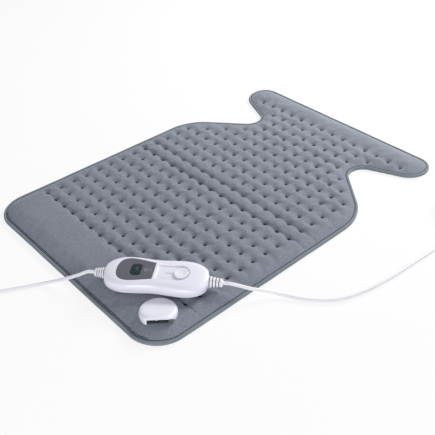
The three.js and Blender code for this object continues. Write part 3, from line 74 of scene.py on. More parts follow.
def setCamera(setup):
    data = bpy.data.cameras.new("viewpoint")
    data.sensor_fit = "HORIZONTAL"
    data.sensor_width = setup["sensor"]
    data.lens = setup["lens"]
    data.clip_start = setup["nearest"]
    scene.camera = standObject("viewpoint", data, *(setup[key] for key in ("right", "up", "back", "place")))


setCamera(cameraSetup)
scene.view_settings.view_transform = "Standard"
print("camera set")


# Shaders: a wire is a socket that takes plain arithmetic, and a paint holds one material's nodes

class Wire:
    def __init__(self, paint, socket):
        self.paint = paint
        self.socket = socket

    def sum(self, operation, first, second):
        return self.paint.node("ShaderNodeMath", {"operation": operation}, {0: first, 1: second})

    def __add__(self, other):
        return self.sum("ADD", self, other)

    def __radd__(self, other):
        return self.sum("ADD", other, self)

    def __sub__(self, other):
        return self.sum("SUBTRACT", self, other)

    def __rsub__(self, other):
        return self.sum("SUBTRACT", other, self)

    def __mul__(self, other):
        return self.sum("MULTIPLY", self, other)

    def __rmul__(self, other):
        return self.sum("MULTIPLY", other, self)


class Paint:
    def __init__(self, name):
        self.material = bpy.data.materials.new(name)
        self.material.use_nodes = True
        self.tree = self.material.node_tree
        self.shader = self.tree.nodes["Principled BSDF"]
        self.place = self.node("ShaderNodeTexCoord", output="Object")

    @classmethod
    def over(cls, tree):
        paint = cls.__new__(cls)
        paint.tree = tree
        return paint

    def node(self, kind, settings=None, sockets=None, output=0):
        made = self.tree.nodes.new(kind)
        for key, value in (settings or {}).items():
            setattr(made, key, value)
        for key, value in (sockets or {}).items():
            self.feed(made.inputs[key], value)
        return Wire(self, made.outputs[output])

    def feed(self, socket, value):
        if isinstance(value, Wire):
            self.tree.links.new(value.socket, socket)
        else:
            socket.default_value = value

    def noise(self, scale, detail=2.0, place=None):
        sockets = {"Vector": place or self.place, "Scale": scale, "Detail": detail}
        return self.node("ShaderNodeTexNoise", {}, sockets)

    def stretched(self, scale, turn):
        return self.node("ShaderNodeMapping", {}, {
            "Vector": self.place, "Rotation": (0, 0, turn), "Scale": scale})

    def attribute(self, name):
        return self.node("ShaderNodeAttribute", {"attribute_name": name}, output="Fac")

    def between(self, value, low, high):
        return self.node("ShaderNodeMapRange", {"interpolation_type": "SMOOTHSTEP"}, {
            "Value": value, "From Min": low, "From Max": high})

    def mix(self, factor, first, second):
        return self.node("ShaderNodeMix", {"data_type": "RGBA"}, {0: factor, 6: first, 7: second}, 2)

    def looked(self):
        path = self.node("ShaderNodeLightPath").socket.node
        rays = (path.outputs[f"Is {kind} Ray"] for kind in ("Camera", "Glossy", "Transmission"))
        straight, mirrored, through = (Wire(self, ray) for ray in rays)
        return straight.sum("MAXIMUM", straight, mirrored.sum("MAXIMUM", mirrored, through))

    def finish(self, colour, roughness, height=None, rise=0.001, **fixed):
        self.feed(self.shader.inputs["Base Color"], colour)
        self.feed(self.shader.inputs["Roughness"], roughness)
        for key, value in fixed.items():
            self.shader.inputs[key.replace("_", " ")].default_value = value
        if height is not None:
            bump = self.node("ShaderNodeBump", {}, {"Height": height, "Distance": rise, "Strength": 1.0})
            self.feed(self.shader.inputs["Normal"], bump)
        return self.material


def tone(red, green, blue, share=1.0):
    return (red * share, green * share, blue * share, 1.0)


pile = {"fibre": 850.0, "nap": 600.0, "cloud": 17.0, "lie": (1.0, 0.55, 1.0), "lieTurn": 0.75, "rise": 0.0005}


# Short-pile plush: fine fibre grain, a brushed nap across the pad, soft clouds where the pile lies
# another way, and a near-black pile where an attribute is high: dark thread, and painted shade in hollows
def plushPaint(name, base, grain, drawn=None):
    paint = Paint(name)
    fibre = paint.noise(pile["fibre"], 3.0)
    nap = paint.noise(pile["nap"], 2.0, paint.stretched(pile["lie"], pile["lieTurn"]))
    cloud = paint.noise(pile["cloud"], 3.0)
    shade = paint.between(fibre * 0.65 + nap * 0.35, 0.32, 0.68) * grain + cloud * 0.30 - 0.15 - grain / 2
    colour = paint.mix(shade + 0.5, tone(*base, 0.62), tone(*base, 1.38))
    # Painted shade and thread: the pile goes near black where the attribute is high
    if drawn is not None:
        colour = paint.mix(paint.between(paint.attribute(drawn), 0.2, 1.0), colour, tone(*base, 0.06))
    return paint.finish(
        colour, 0.94, fibre * 0.6 + nap * 0.4, pile["rise"],
        Sheen_Weight=0.22, Sheen_Roughness=0.45, Specular_IOR_Level=0.15)


# Woven cloth: two crossed sets of threads, with a little unevenness
def wovenPaint(name, base, thread=0.0009):
    paint = Paint(name)
    weft, warp = (
        paint.node("ShaderNodeTexWave", {"wave_type": "BANDS", "bands_direction": axis}, {
            "Vector": paint.place, "Scale": 1.0 / thread / 6.0, "Distortion": 0.6})
        for axis in "XY")
    cloth = weft * 0.5 + warp * 0.5
    shade = cloth * 0.6 + paint.noise(60.0, 3.0) * 0.4
    colour = paint.mix(shade, tone(*base, 0.7), tone(*base, 1.3))
    return paint.finish(colour, 0.9, cloth, 0.0003, Sheen_Weight=0.1, Specular_IOR_Level=0.2)


# Moulded plastic: the faint orange peel of the tool, handling marks in the gloss, a slight cloudiness, and
# painted shade in the grooves that an attribute names
def plasticPaint(name, base, gloss, peel=0.00002, grain=900.0, coat=0.0, shine=0.5, grooveShade=None):
    paint = Paint(name)
    peelField = paint.noise(grain, 2.0)
    handled = paint.noise(38.0, 4.0)
    cloud = paint.noise(14.0, 2.0)
    colour = paint.mix(cloud, tone(*base, 0.97), tone(*base, 1.03))
    # Painted shade: a darker colour where the attribute marks a groove
    if grooveShade is not None:
        colour = paint.mix(paint.attribute(grooveShade), colour, tone(*base, 0.3))
    return paint.finish(
        colour, paint.between(handled, 0.3, 0.75) * 0.05 + (gloss - 0.02), peelField, peel,
        Coat_Weight=coat, Coat_Roughness=0.12, Specular_IOR_Level=shine)


# Bare metal: drawn grain along one axis and small dull spots
def metalPaint(name, base, rough):
    paint = Paint(name)
    drawn = paint.noise(700.0, 2.0, paint.stretched((1.0, 0.1, 1.0), 0.6))
    spots = paint.noise(160.0, 3.0)
    colour = paint.mix(spots, tone(*base, 0.86), tone(*base, 1.1))
    return paint.finish(colour, drawn * 0.14 + (rough - 0.06), drawn, 0.00003, Metallic=1.0)


greyPlush = (0.222, 0.241, 0.283)
bindingGrey = (0.208, 0.238, 0.268)
lavenderWhite = (0.83, 0.825, 0.91)

paints = {
    "plush": plushPaint("short_pile_plush", greyPlush, 0.58, drawn="threadAndShade"),
    "binding": plushPaint("rolled_edge_plush", bindingGrey, 0.28, drawn="threadAndShade"),
    "back_fabric": wovenPaint("woven_backing", (0.13, 0.14, 0.165)),
    "carrier_felt": plushPaint("needled_felt", (0.62, 0.60, 0.56), 0.25),
    "seamThread": wovenPaint("seam_thread", (0.016, 0.026, 0.036), 0.0004),
    "heating_wire": plasticPaint("wire_sleeve", (0.45, 0.10, 0.06), 0.5),
    "steel": metalPaint("plated_steel", (0.62, 0.62, 0.64), 0.32),
    "white_plastic": plasticPaint("gloss_white_shell", lavenderWhite, 0.24, coat=0.25),
    "knobPlastic": plasticPaint("gloss_white_knob", (0.84, 0.835, 0.91), 0.22, coat=0.25),
    # The boot's grooves get painted shade
    "boot_plastic": plasticPaint("soft_white_boot", (0.84, 0.835, 0.87), 0.46, 0.00004, grooveShade="groove"),
    "dark_plastic": plasticPaint("black_moulding", (0.022, 0.022, 0.025), 0.45, 0.00005),
    "contact_metal": metalPaint("nickel_contact", (0.66, 0.63, 0.55), 0.28),
    "grey_panel": plasticPaint("matt_grey_panel", (0.112, 0.117, 0.136), 0.55, 0.00004, 1600.0, shine=0.25),
    "panelPrint": plasticPaint("pale_print", (0.40, 0.40, 0.43), 0.5),
    "shellPrint": plasticPaint("grey_print", (0.42, 0.42, 0.46), 0.4),
    "displayGlow": plasticPaint("lit_segment", (0.014, 0.045, 0.052), 0.5, shine=0.2),
    "display_window": plasticPaint("tinted_window", (0.006, 0.022, 0.026), 0.14, 0.000004, 300.0, shine=0.2),
    "circuit_board": plasticPaint("solder_resist", (0.03, 0.15, 0.06), 0.4, 0.00005),
    "capacitor": plasticPaint("dipped_film", (0.45, 0.05, 0.03), 0.3),
    "cord": plasticPaint("white_cord", (0.81, 0.807, 0.845), 0.38, 0.00002, 420.0),
    "tie": wovenPaint("black_strap", (0.02, 0.02, 0.022), 0.0006),
}
print("finishes made:", len(paints))


# Meshes

def smooth(value, low, high):
    share = np.clip((np.asarray(value, float) - low) / (high - low), 0, 1)
    return share * share * (3 - 2 * share)


# The lower of two heights, rounded where they cross over a width
def softLower(first, second, width):
    share = np.clip(0.5 + 0.5 * (second - first) / width, 0, 1)
    return second + (first - second) * share - width * share * (1 - share)


def roundAngles(count):
    return np.linspace(0, 2 * np.pi, count, endpoint=False)


# A squared round: the angle's cosine and sine, pushed out by a power below 1
def squaredRound(angle, power):
    return [np.sign(part) * np.abs(part) ** power for part in (np.cos(angle), np.sin(angle))]


# Points turned by an angle about Z and moved, for pieces built in their own frame
def placed(points, origin, degrees):
    turn = math.radians(degrees)
    points = np.asarray(points, float)
    across = points[..., 0] * math.cos(turn) - points[..., 1] * math.sin(turn)
    along = points[..., 0] * math.sin(turn) + points[..., 1] * math.cos(turn)
    return np.stack([across, along, points[..., 2]], axis=-1) + np.asarray(origin, float)


# Quads of a grid of rows by columns, which may close round either way
def gridQuads(rows, columns, closeRows=False, closeColumns=False):
    i = np.arange(rows if closeRows else rows - 1)[:, None]
    j = np.arange(columns if closeColumns else columns - 1)[None, :]
    nextRow = (i + 1) % rows
    nextColumn = (j + 1) % columns
    corners = ((i, j), (nextRow, j), (nextRow, nextColumn), (i, nextColumn))
    places = np.broadcast_arrays(*(row * columns + column for row, column in corners))
    return np.stack(places, axis=-1).reshape(-1, 4)


# A mesh from points in millimetres
def rawMesh(name, points, quads):
    mesh = bpy.data.meshes.new(name)
    points = np.asarray(points).reshape(-1, 3) * millimetre
    mesh.from_pydata(points.tolist(), [], np.asarray(quads).tolist())
    return mesh


# A mesh's points in millimetres
def pointsOf(mesh):
    flat = np.empty(len(mesh.vertices) * 3, np.float32)
    mesh.vertices.foreach_get("co", flat)
    return flat.reshape(-1, 3).astype(float) / millimetre


# Steps taken on a mesh, whose faces then point outwards and are shaded smooth
def rework(mesh, *steps):
    shape = bmesh.new()
    shape.from_mesh(mesh)
    for step in steps:
        step(shape)
    bmesh.ops.recalc_face_normals(shape, faces=shape.faces)
    shape.to_mesh(mesh)
    shape.free()
    mesh.shade_smooth()


def rimOf(shape):
    return [edge for edge in shape.edges if edge.is_boundary]


def mergePoles(shape):
    bmesh.ops.remove_doubles(shape, verts=shape.verts, dist=1e-6)


def closeRims(shape):
    bmesh.ops.holes_fill(shape, edges=rimOf(shape), sides=0)


def bridgeRims(shape):
    bmesh.ops.bridge_loops(shape, edges=rimOf(shape))


def dropSlivers(shape):
    bmesh.ops.dissolve_degenerate(shape, edges=shape.edges, dist=1e-7)


# A share from 0 to 1 at each point, for a paint to read
def setShare(mesh, name, share):
    mesh.attributes.new(name, "FLOAT", "POINT").data.foreach_set("value", np.asarray(share, np.float32))


# A piece's modifiers made part of its mesh
def applyModifiers(piece):
    graph = bpy.context.evaluated_depsgraph_get()
    done = bpy.data.meshes.new_from_object(piece.evaluated_get(graph), depsgraph=graph)
    piece.modifiers.clear()
    old = piece.data
    piece.data = done
    bpy.data.meshes.remove(old)


# Sharp edges stay crisp on a mostly smooth piece
def keepEdges(piece, degrees):
    piece.data.set_sharp_from_angle(angle=math.radians(degrees))
    return piece


# What a piece is painted with, the body that it rides and the nodes that it stands for
def declare(piece, finish, body="pad", nodes=()):
    piece.data.materials.append(paints[finish])
    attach(piece, body)
    if nodes:
        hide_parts(*nodes)
    return piece


# A piece whose poles are merged and whose open rims may be filled
def makePiece(name, points, quads, finish, body="pad", nodes=(), slot=None, fillRims=False):
    mesh = rawMesh(name, points, quads)
    rework(mesh, mergePoles, *([closeRims] if fillRims else []), dropSlivers)
    return declare(addObject(name, mesh), finish, body, nodes)


# A piece from one grid of points, closed across its columns unless told otherwise
def makeSurface(name, points, finish, closeRows=False, closeColumns=True, **rest):
    return makePiece(name, points, gridQuads(*points.shape[:2], closeRows, closeColumns), finish, **rest)


# Leads: where each leaves its boot, the points it passes, and the coil that puts its length away

case = {
    "origin": (116.0, -228.5, 12.3), "angle": 39.6, "halfLength": 71.5, "endWidth": 62.0, "waistWidth": 55.6,
    "waistSpread": 26.0, "noseWidth": 18.0, "noseRound": 1.5, "noseKept": 0.82, "roundStart": 34.0,
    "roundPower": 2.4, "height": 25.6, "topFace": 23.4, "topRound": 1.8, "endDroop": 5.5, "endRise": 3.0,
    "parting": 11.0, "gap": 0.3,
}
cords = {"diameter": 5.0, "coilLine": 3.9, "pitch": 5.8, "layerPitch": 5.7, "bevelSteps": 5}
mainsLead = {
    "side": 1, "length": 1.89, "boot": 20.0,
    "route": [
        (213.5, -145, 15.6), (230.3, -125, 8.2), (246.5, -111.3, 3.7), (263, -101, 2.8), (279, -89, 2.8),
        (292, -76, 2.8), (303, -60, 2.8), (311, -40, 2.8), (317, -17, 2.8), (321, 9, 2.8), (324, 36, 2.8),
        (326, 66, 2.8), (328, 94, 2.8), (329.4, 122, 2.8), (330.2, 150, 2.8), (330.5, 180, 2.8)],
    "centre": (297.5, 239.0), "entry": 0.0, "spin": 1, "radius": 33.0, "turns": 8.0, "layers": 4,
    "tie": 0.5, "tail": 52.0, "endHeight": 7.15,
}
padLead = {
    "side": -1, "length": 0.73, "boot": 15.0,
    "route": [
        (33.5, -301.2, 18.9), (26.8, -308.5, 15.2), (20.9, -315.1, 12.2), (14.6, -321.5, 9.2),
        (8.2, -327.7, 6.6), (2.4, -334.3, 4.5), (-2.7, -341.1, 3.2), (-7, -348.3, 2.8), (-14.2, -363.1, 2.8),
        (-21.7, -377.5, 2.8), (-29.4, -391.8, 2.8), (-36, -404.6, 2.8)],
    "centre": (-73.4, -409.7), "entry": -28.95, "spin": -1, "radius": 30.3, "turns": 3.25, "layers": 2,
    "tie": 0.15, "tail": 34.0, "endHeight": 6.3,
}


# A smooth line through points: each stretch bends by the roots of its neighbours' spacing
def smoothLine(points, perStretch=12):
    points = np.asarray(points, float)
    padded = np.vstack([2 * points[0] - points[1], points, 2 * points[-1] - points[-2]])
    before, start, end, after = (padded[k:len(padded) - 3 + k][:, None, :] for k in range(4))
    first, middle, last = (np.sqrt(np.linalg.norm(b - a, axis=2))[..., None]
                           for a, b in ((before, start), (start, end), (end, after)))
    t = np.linspace(0, 1, perStretch, endpoint=False)[None, :, None]
    leave = ((start - before) / first - (end - before) / (first + middle) + (end - start) / middle) * middle
    reach = ((end - start) / middle - (after - start) / (middle + last) + (after - end) / last) * middle
    line = start + leave * t + (3 * (end - start) - 2 * leave - reach) * t ** 2
    line = line + (leave + reach - 2 * (end - start)) * t ** 3
    return np.vstack([line.reshape(-1, 3), points[-1:]])


# Turns of a coil: in along one layer and out along the next, climbing in the half turn where it reverses
def coilLine(lead, turns):
    perLayer = lead["turns"] / lead["layers"]
    along = np.mod(turns / perLayer, 2)
    inward = perLayer * np.where(along < 1, along, 2 - along)
    climbed = sum(smooth(turns, k * perLayer - 0.25, k * perLayer + 0.25) for k in range(1, lead["layers"]))
    angle = np.radians(lead["entry"]) + lead["spin"] * 2 * np.pi * turns
    radius = lead["radius"] - cords["pitch"] * inward
    return np.stack([
        lead["centre"][0] + radius * np.cos(angle),
        lead["centre"][1] + radius * np.sin(angle),
        cords["coilLine"] + cords["layerPitch"] * climbed], axis=-1)


def coilHeading(lead, turns):
    angle = math.radians(lead["entry"]) + lead["spin"] * 2 * math.pi * turns
    return lead["spin"] * np.array([-math.sin(angle), math.cos(angle), 0.0])


# The whole lead as one line: out of its boot, over the rim, along the floor, round the coil, out to its end
def leadLine(lead):
    gap = case["gap"]
    diameter = cords["diameter"]
    tip = case["halfLength"] + 2 * gap + lead["boot"]
    exits = [[lead["side"] * (tip + extra), 0, case["parting"]] for extra in (0, 2 * diameter)]
    start = placed(exits, case["origin"], case["angle"])
    wound = coilLine(lead, np.linspace(0, lead["turns"], int(lead["turns"] * 40) + 1))
    entering = coilHeading(lead, 0)
    leaving = coilHeading(lead, lead["turns"])
    runEnd = wound[0] - entering * (diameter + gap)
    run = smoothLine([*start, *lead["route"], runEnd - 2 * diameter * entering, runEnd])
    tailStart = wound[-1] + leaving * (diameter + gap)
    tailEnd = tailStart + leaving * lead["tail"]
    tailEnd[2] = lead["endHeight"]
    tail = smoothLine([tailStart, tailStart + leaving * diameter, tailEnd - leaving * diameter, tailEnd])
    heading = math.degrees(math.atan2(leaving[1], leaving[0]))
    return np.vstack([run, wound, tail]), tailEnd + leaving * gap, heading


# A round cord as one open poly spline with a bevel
def makeCord(name, line):
    data = bpy.data.curves.new(name, "CURVE")
    data.dimensions = "3D"
    data.bevel_depth = cords["diameter"] / 2 * millimetre
    data.bevel_resolution = cords["bevelSteps"]
    data.use_fill_caps = True
    spline = data.splines.new("POLY")
    spline.points.add(len(line) - 1)
    spline.points.foreach_set("co", np.column_stack([line * millimetre, np.ones(len(line))]).ravel())
    spline.use_smooth = True
    length = float(np.linalg.norm(np.diff(line, axis=0), axis=1).sum())
    print(name, "is", round(length * millimetre, 3), "m long")
    nodes = [f"{name}_{part}" for part in ("cord", "coil", "tail")]
    return declare(addObject(name, data), "cord", nodes=nodes)


mainsLine, mainsEnd, mainsHeading = leadLine(mainsLead)
padLine, padEnd, padHeading = leadLine(padLead)
mainsCord = makeCord("mains_lead", mainsLine)
padCord = makeCord("pad_lead", padLine)

strap = {
    "clear": 0.7, "half": 4.0, "edge": 3.6, "power": 0.32, "outer": (0.42, 0.46), "inner": -0.38, "sides": 96,
}


# A strap closed round the turns: a flat band with a bulging face, carried round a squared round
def makeTie(name, lead, node):
    perLayer = lead["turns"] / lead["layers"]
    radius = cords["diameter"] / 2
    clear = strap["clear"]
    hole = lead["radius"] - cords["pitch"] * perLayer - radius
    inner = math.sqrt(hole ** 2 - strap["half"] ** 2) - clear
    outer = lead["radius"] + radius + clear
    low = cords["coilLine"] - radius - clear
    high = cords["coilLine"] + cords["layerPitch"] * (lead["layers"] - 1) + radius + clear
    angle = roundAngles(strap["sides"])
    across, rise = squaredRound(angle, strap["power"])
    reach = (inner + outer) / 2 + (outer - inner) / 2 * across
    level = (low + high) / 2 + (high - low) / 2 * rise
    half, edge = strap["half"], strap["edge"]
    width = np.array([-half, -edge, 0, edge, half, edge, 0, -edge])
    side, face = strap["outer"]
    thick = np.array([0, side, face, side, 0] + [strap["inner"]] * 3)
    points = np.stack([
        reach[:, None] + np.cos(angle)[:, None] * thick, np.broadcast_to(width, (len(angle), len(width))),
        level[:, None] + np.sin(angle)[:, None] * thick], axis=-1)
    points = placed(points, (*lead["centre"], 0), lead["entry"] + lead["spin"] * 360 * lead["tie"])
    return makeSurface(name, points, "tie", True, nodes=[node])


mainsTie = makeTie("mains_strap", mainsLead, "mains_lead_tie")
padTie = makeTie("pad_strap", padLead, "pad_lead_tie")


# A shape turned about X: radius as a function of distance
def turnedPoints(distance, radius, sides):
    angle = roundAngles(sides)
    distance = np.asarray(distance, float)[:, None]
    radius = np.asarray(radius, float)[:, None]
    return np.stack([distance + 0 * angle, radius * np.cos(angle), radius * np.sin(angle)], axis=-1)


# A loft along X of rounded rectangles: width and height may change with the distance
def loftPoints(distance, width, height, power, sides=64):
    angle = roundAngles(sides)
    across, rise = squaredRound(angle, 2 / power)
    distance, width, height = (np.asarray(part, float)[:, None] for part in (distance, width, height))
    return np.stack([distance + 0 * angle, width / 2 * across, height / 2 * rise], axis=-1)


# Share of the full section at each distance of a loft whose two ends round in to a point
def roundedEnds(distance, edge):
    near = np.clip((distance - distance[0]) / edge, 0, 1)
    far = np.clip((distance[-1] - distance) / edge, 0, 1)
    return [np.sqrt(np.maximum(1 - (1 - end) ** 2, 0)) for end in (near, far)]


plug = {
    "boot": 16.0, "tip": 7.0, "back": 9.0, "rings": 5, "ring": 0.55, "length": 32.0, "backWidth": 16.0,
    "faceWidth": 35.0, "height": 13.7, "edge": 2.4, "corner": 3.2, "ridges": 11, "ridge": 0.35, "gap": 0.3,
}


# Plug boot: a cone with shallow rings, from the cord to the plug's back
def makePlugBoot(name, origin, heading, node):
    distance = np.concatenate([[0], np.linspace(0, plug["boot"], 90), [plug["boot"]]])
    share = distance / plug["boot"]
    ring = plug["ring"] * (0.5 - 0.5 * np.cos(2 * np.pi * share * plug["rings"]))
    ring = ring * smooth(share, 0.02, 0.1) * smooth(share, 0.98, 0.9)
    radius = (plug["tip"] + (plug["back"] - plug["tip"]) * share) / 2 - ring
    radius[[0, -1]] = 0
    points = placed(turnedPoints(distance, radius, 40), origin, heading)
    return makeSurface(name, points, "boot_plastic", nodes=[node])


# Mains plug body: flat grip that widens to its face, ridged where fingers hold it
def makePlug(name, origin, heading, node):
    start = plug["boot"] + plug["gap"]
    distance = start + plug["length"] * (0.5 - 0.5 * np.cos(np.linspace(0, np.pi, 90)))
    share = (distance - start) / plug["length"]
    near, far = roundedEnds(distance, plug["edge"])
    width = plug["backWidth"] + (plug["faceWidth"] - plug["backWidth"]) * smooth(share, 0.05, 0.8)
    height = plug["height"] * (0.62 + 0.38 * smooth(share, 0.0, 0.5))
    grip = plug["ridge"] * np.maximum(np.sin(2 * np.pi * (share - 0.2) * plug["ridges"]), 0)
    grip = grip * smooth(share, 0.2, 0.26) * smooth(share, 0.56, 0.5)
    points = loftPoints(distance, width * near * far, (height - 2 * grip) * near * far, plug["corner"])
    return makeSurface(name, placed(points, origin, heading), "white_plastic", nodes=[node])


mainsBoot = makePlugBoot("mains_plug_sleeve", mainsEnd, mainsHeading, "mains_plug_boot")
mainsPlug = makePlug("mains_plug_body", mainsEnd, mainsHeading, "mains_plug")
padBoot = makePlugBoot("pad_connector_sleeve", padEnd, padHeading, "pad_connector_boot")

(mainsLine[0] * millimetre).tolist()
(padLine[0] * millimetre).tolist()
print("leads laid")


# Pad: its right side's corners with their radii, heights from the floor, and distances in from the edge

pad = {
    "corners": [(210, -310, 50), (210, 102, 90), (92, 202, 28), (206, 252, 40), (206, 310, 30)],
    "bottom": 4.5, "flange": 5.2, "crown": 11.8, "tuck": 2.2, "layerInset": 1.6,
    "pitch": 25.2, "firstX": -182.6, "firstY": -223.8, "columns": 15, "rows": 20, "sewnInset": 15.0,
    "rimStart": 4.7, "rimWidth": 26.0, "rimPower": 1.8, "seam": 4.9, "sewLine": 7.0, "sewnBelow": -296.0,
}


# The outline drawn in by a distance: straight sides and round corners that keep their centres, with a
# point every step of length
def padOutline(inset, step):
    right = np.array(pad["corners"], float)
    corners = np.vstack([right, right[::-1] * np.array([-1, 1, 1])])
    at = corners[:, :2]
    incoming = at - np.roll(at, 1, axis=0)
    incoming /= np.linalg.norm(incoming, axis=1)[:, None]
    outgoing = np.roll(incoming, -1, axis=0)
    turn = np.arctan2(
        incoming[:, 0] * outgoing[:, 1] - incoming[:, 1] * outgoing[:, 0], (incoming * outgoing).sum(axis=1))
    bend = np.sign(turn)
    start = at - incoming * (corners[:, 2] * np.tan(np.abs(turn) / 2))[:, None]
    outward = np.stack([incoming[:, 1], -incoming[:, 0]], axis=1) * bend[:, None]
    centre = start - outward * corners[:, 2:3]
    radius = corners[:, 2] - bend * inset
    arcs = []
    for k in range(len(corners)):
        angle = np.linspace(0, turn[k], max(int(abs(turn[k]) * radius[k] / step), 6) + 1)
        ray = np.stack([
            outward[k, 0] * np.cos(angle) - outward[k, 1] * np.sin(angle),
            outward[k, 0] * np.sin(angle) + outward[k, 1] * np.cos(angle)], axis=1)
        arcs.append(centre[k] + ray * radius[k])
    outline = []
    for arc, following in zip(arcs, arcs[1:] + arcs[:1]):
        straight = following[:1] - arc[-1:]
        share = np.linspace(0, 1, max(int(np.linalg.norm(straight) / step), 2), endpoint=False)[1:, None]
        outline += [arc, arc[-1:] + straight * share]
    return np.vstack(outline)


def inParts(points, size=4000):
    return np.array_split(points, max(len(points) // size, 1))


def nearestOn(outline, points):
    return np.concatenate([
        ((part[:, None, :] - outline[None]) ** 2).sum(axis=2).argmin(axis=1) for part in inParts(points)])


# Even-odd crossing count of the outline along +X
def insideOf(outline, points):
    a = outline
    b = np.roll(outline, -1, axis=0)
    rise = np.where(b[:, 1] == a[:, 1], 1e-9, b[:, 1] - a[:, 1])
    found = []
    for part in inParts(points):
        x = part[:, :1]
        y = part[:, 1:]
        crossing = a[:, 0] + (y - a[:, 1]) / rise * (b[:, 0] - a[:, 0])
        crosses = ((a[:, 1] > y) != (b[:, 1] > y)) & (x < crossing)
        found.append(crosses.sum(axis=1) % 2 == 1)
    return np.concatenate(found)


def gridOf(x, y):
    return np.stack(np.meshgrid(x, y, indexing="ij"), axis=-1).reshape(-1, 2)


# A square grid through the tufts, cut to the outline: points just outside move on to it
def clippedGrid(inset, step):
    outline = padOutline(inset, 1.0)
    reach = np.abs(pad["corners"]).max(axis=0)[:2] + 2
    x, y = (np.mod(first, step) + step * np.arange(-int(far / step) - 1, int(far / step) + 1)
            for first, far in zip((pad["firstX"], pad["firstY"]), reach))
    points = gridOf(x, y)
    inside = insideOf(outline, points)
    quads = gridQuads(len(x), len(y))
    quads = quads[inside[quads].sum(axis=1) >= 2]
    used = np.unique(quads)
    edge = used[~inside[used]]
    points[edge] = outline[nearestOn(outline, points[edge])]
    renumber = np.zeros(len(points), int)
    renumber[used] = np.arange(len(used))
    return points[used], renumber[quads]


def insetOf(points):
    outline = padOutline(0.0, 1.0)
    return np.linalg.norm(points - outline[nearestOn(outline, points)], axis=1)


# Slow unevenness: a few crossed waves of unlike lengths
def waves(x, y, length, seed):
    rng = np.random.default_rng(seed)
    total = np.zeros_like(x)
    for _ in range(7):
        direction = rng.uniform(0, 2 * np.pi)
        wave = length * rng.uniform(0.7, 1.5)
        along = x * np.cos(direction) + y * np.sin(direction)
        total += np.sin(along * 2 * np.pi / wave + rng.uniform(0, 6.28))
    return total / 4.0


def rowLine(row):
    return pad["firstY"] + pad["pitch"] * row


def tuftPlaces():
    x = pad["firstX"] + pad["pitch"] * np.arange(pad["columns"])
    places = gridOf(x, rowLine(np.arange(pad["rows"])))
    return places[insideOf(padOutline(pad["sewnInset"], 2.0), places)]


tufts = tuftPlaces()


# Share of the crown's height that the rim has reached at a distance from the edge
def rimShare(inset):
    return 1 - (1 - np.clip((inset - pad["rimStart"]) / pad["rimWidth"], 0, 1)) ** pad["rimPower"]


# Sewn rows that fold the pad: row, depth of its crease, its width, and the side that stays smooth
foldRows = ((0, 1.8, 1.6, -1), (8, 2.8, 2.4, 1), (9, 2.8, 2.4, -1), (16, 1.2, 2.4, 0))
wadding = {
    "uneven": 0.15, "unevenLength": 90.0, "sag": 1.4, "puff": 1.7, "fieldTop": (268, 252),
    "fieldSide": (196, 184), "pit": 4.4, "pitMost": 1.2, "pitReach": 24, "bowl": 0.58, "bowlWidth": 7.4,
    "core": 0.42, "coreWidth": 3.4, "skew": 0.22, "smoothed": 0.7, "creaseSide": (208, 204),
    "creaseAtRim": 0.62, "tube": 0.7, "tubeRow": 8.5, "tubeWidth": 0.32,
}


# Height of the wadding: a crown that rises from the rim in a long curve, less a funnel at each tuft and the
# creases of the fold rows, with cells puffed up between their four tufts and a tube between two fold rows
def waddingHeight(x, y, inset):
    phaseX = (x - pad["firstX"]) / pad["pitch"]
    phaseY = (y - pad["firstY"]) / pad["pitch"]
    field = smooth(y, rowLine(0) - 10, rowLine(0) + 4) * smooth(y, *wadding["fieldTop"])
    field = field * smooth(np.abs(x), *wadding["fieldSide"])
    cell = (2 - np.cos(2 * np.pi * phaseX) - np.cos(2 * np.pi * phaseY)) / 4
    height = pad["crown"] + wadding["uneven"] * waves(x, y, wadding["unevenLength"], 3)
    height = height - field * (wadding["sag"] - wadding["puff"] * cell)
    funnel = np.zeros_like(x)
    rng = np.random.default_rng(11)
    smoothSide = {row: side for row, depth, width, side in foldRows}
    for tuftX, tuftY in tufts:
        near = (np.abs(x - tuftX) < wadding["pitReach"]) & (np.abs(y - tuftY) < wadding["pitReach"])
        across = x[near] - tuftX
        along = y[near] - tuftY
        pull = rng.uniform(0.85, 1.15)
        skew = 1 + wadding["skew"] * np.cos(3 * np.arctan2(along, across) + rng.uniform(0, 6.28))
        distance = np.hypot(across, along)
        pit = wadding["bowl"] * np.exp(-(distance / (wadding["bowlWidth"] * skew)) ** 2)
        pit = pit + wadding["core"] * np.exp(-distance / wadding["coreWidth"])
        side = smoothSide.get(round((tuftY - pad["firstY"]) / pad["pitch"]), 0)
        funnel[near] += pull * pit * (1 - wadding["smoothed"] * abs(side) * smooth(along * side, -2, 4))
    crease = np.zeros_like(x)
    for row, depth, width, side in foldRows:
        fold = np.exp(-np.abs(y - rowLine(row)) / width)
        crease += depth * fold * smooth(np.abs(x), *wadding["creaseSide"])
    tube = np.exp(-((phaseY - wadding["tubeRow"]) / wadding["tubeWidth"]) ** 2) * wadding["tube"]
    height = height + tube - wadding["pit"] * np.minimum(funnel, wadding["pitMost"])
    atRim = np.maximum(rimShare(inset), wadding["creaseAtRim"] * smooth(inset, 4.5, 9.5))
    return pad["flange"] + (height - pad["flange"]) * rimShare(inset) - crease * atRim


# Cloth blown up between its sewn points: it starts at the wadding's height, is held at the rim, the tufts and
# the fold rows, and swells under pressure with a little slack; no point moves further than the cap
swelling = {
    "step": 3.15, "frames": 20, "cap": 1.8,
    "settings": {
        "vertex_group_mass": "held", "use_pressure": True, "uniform_pressure_force": 4.0,
        "shrink_min": -0.014, "mass": 0.02, "tension_stiffness": 12.0, "compression_stiffness": 12.0,
        "shear_stiffness": 4.0, "bending_stiffness": 0.05},
}


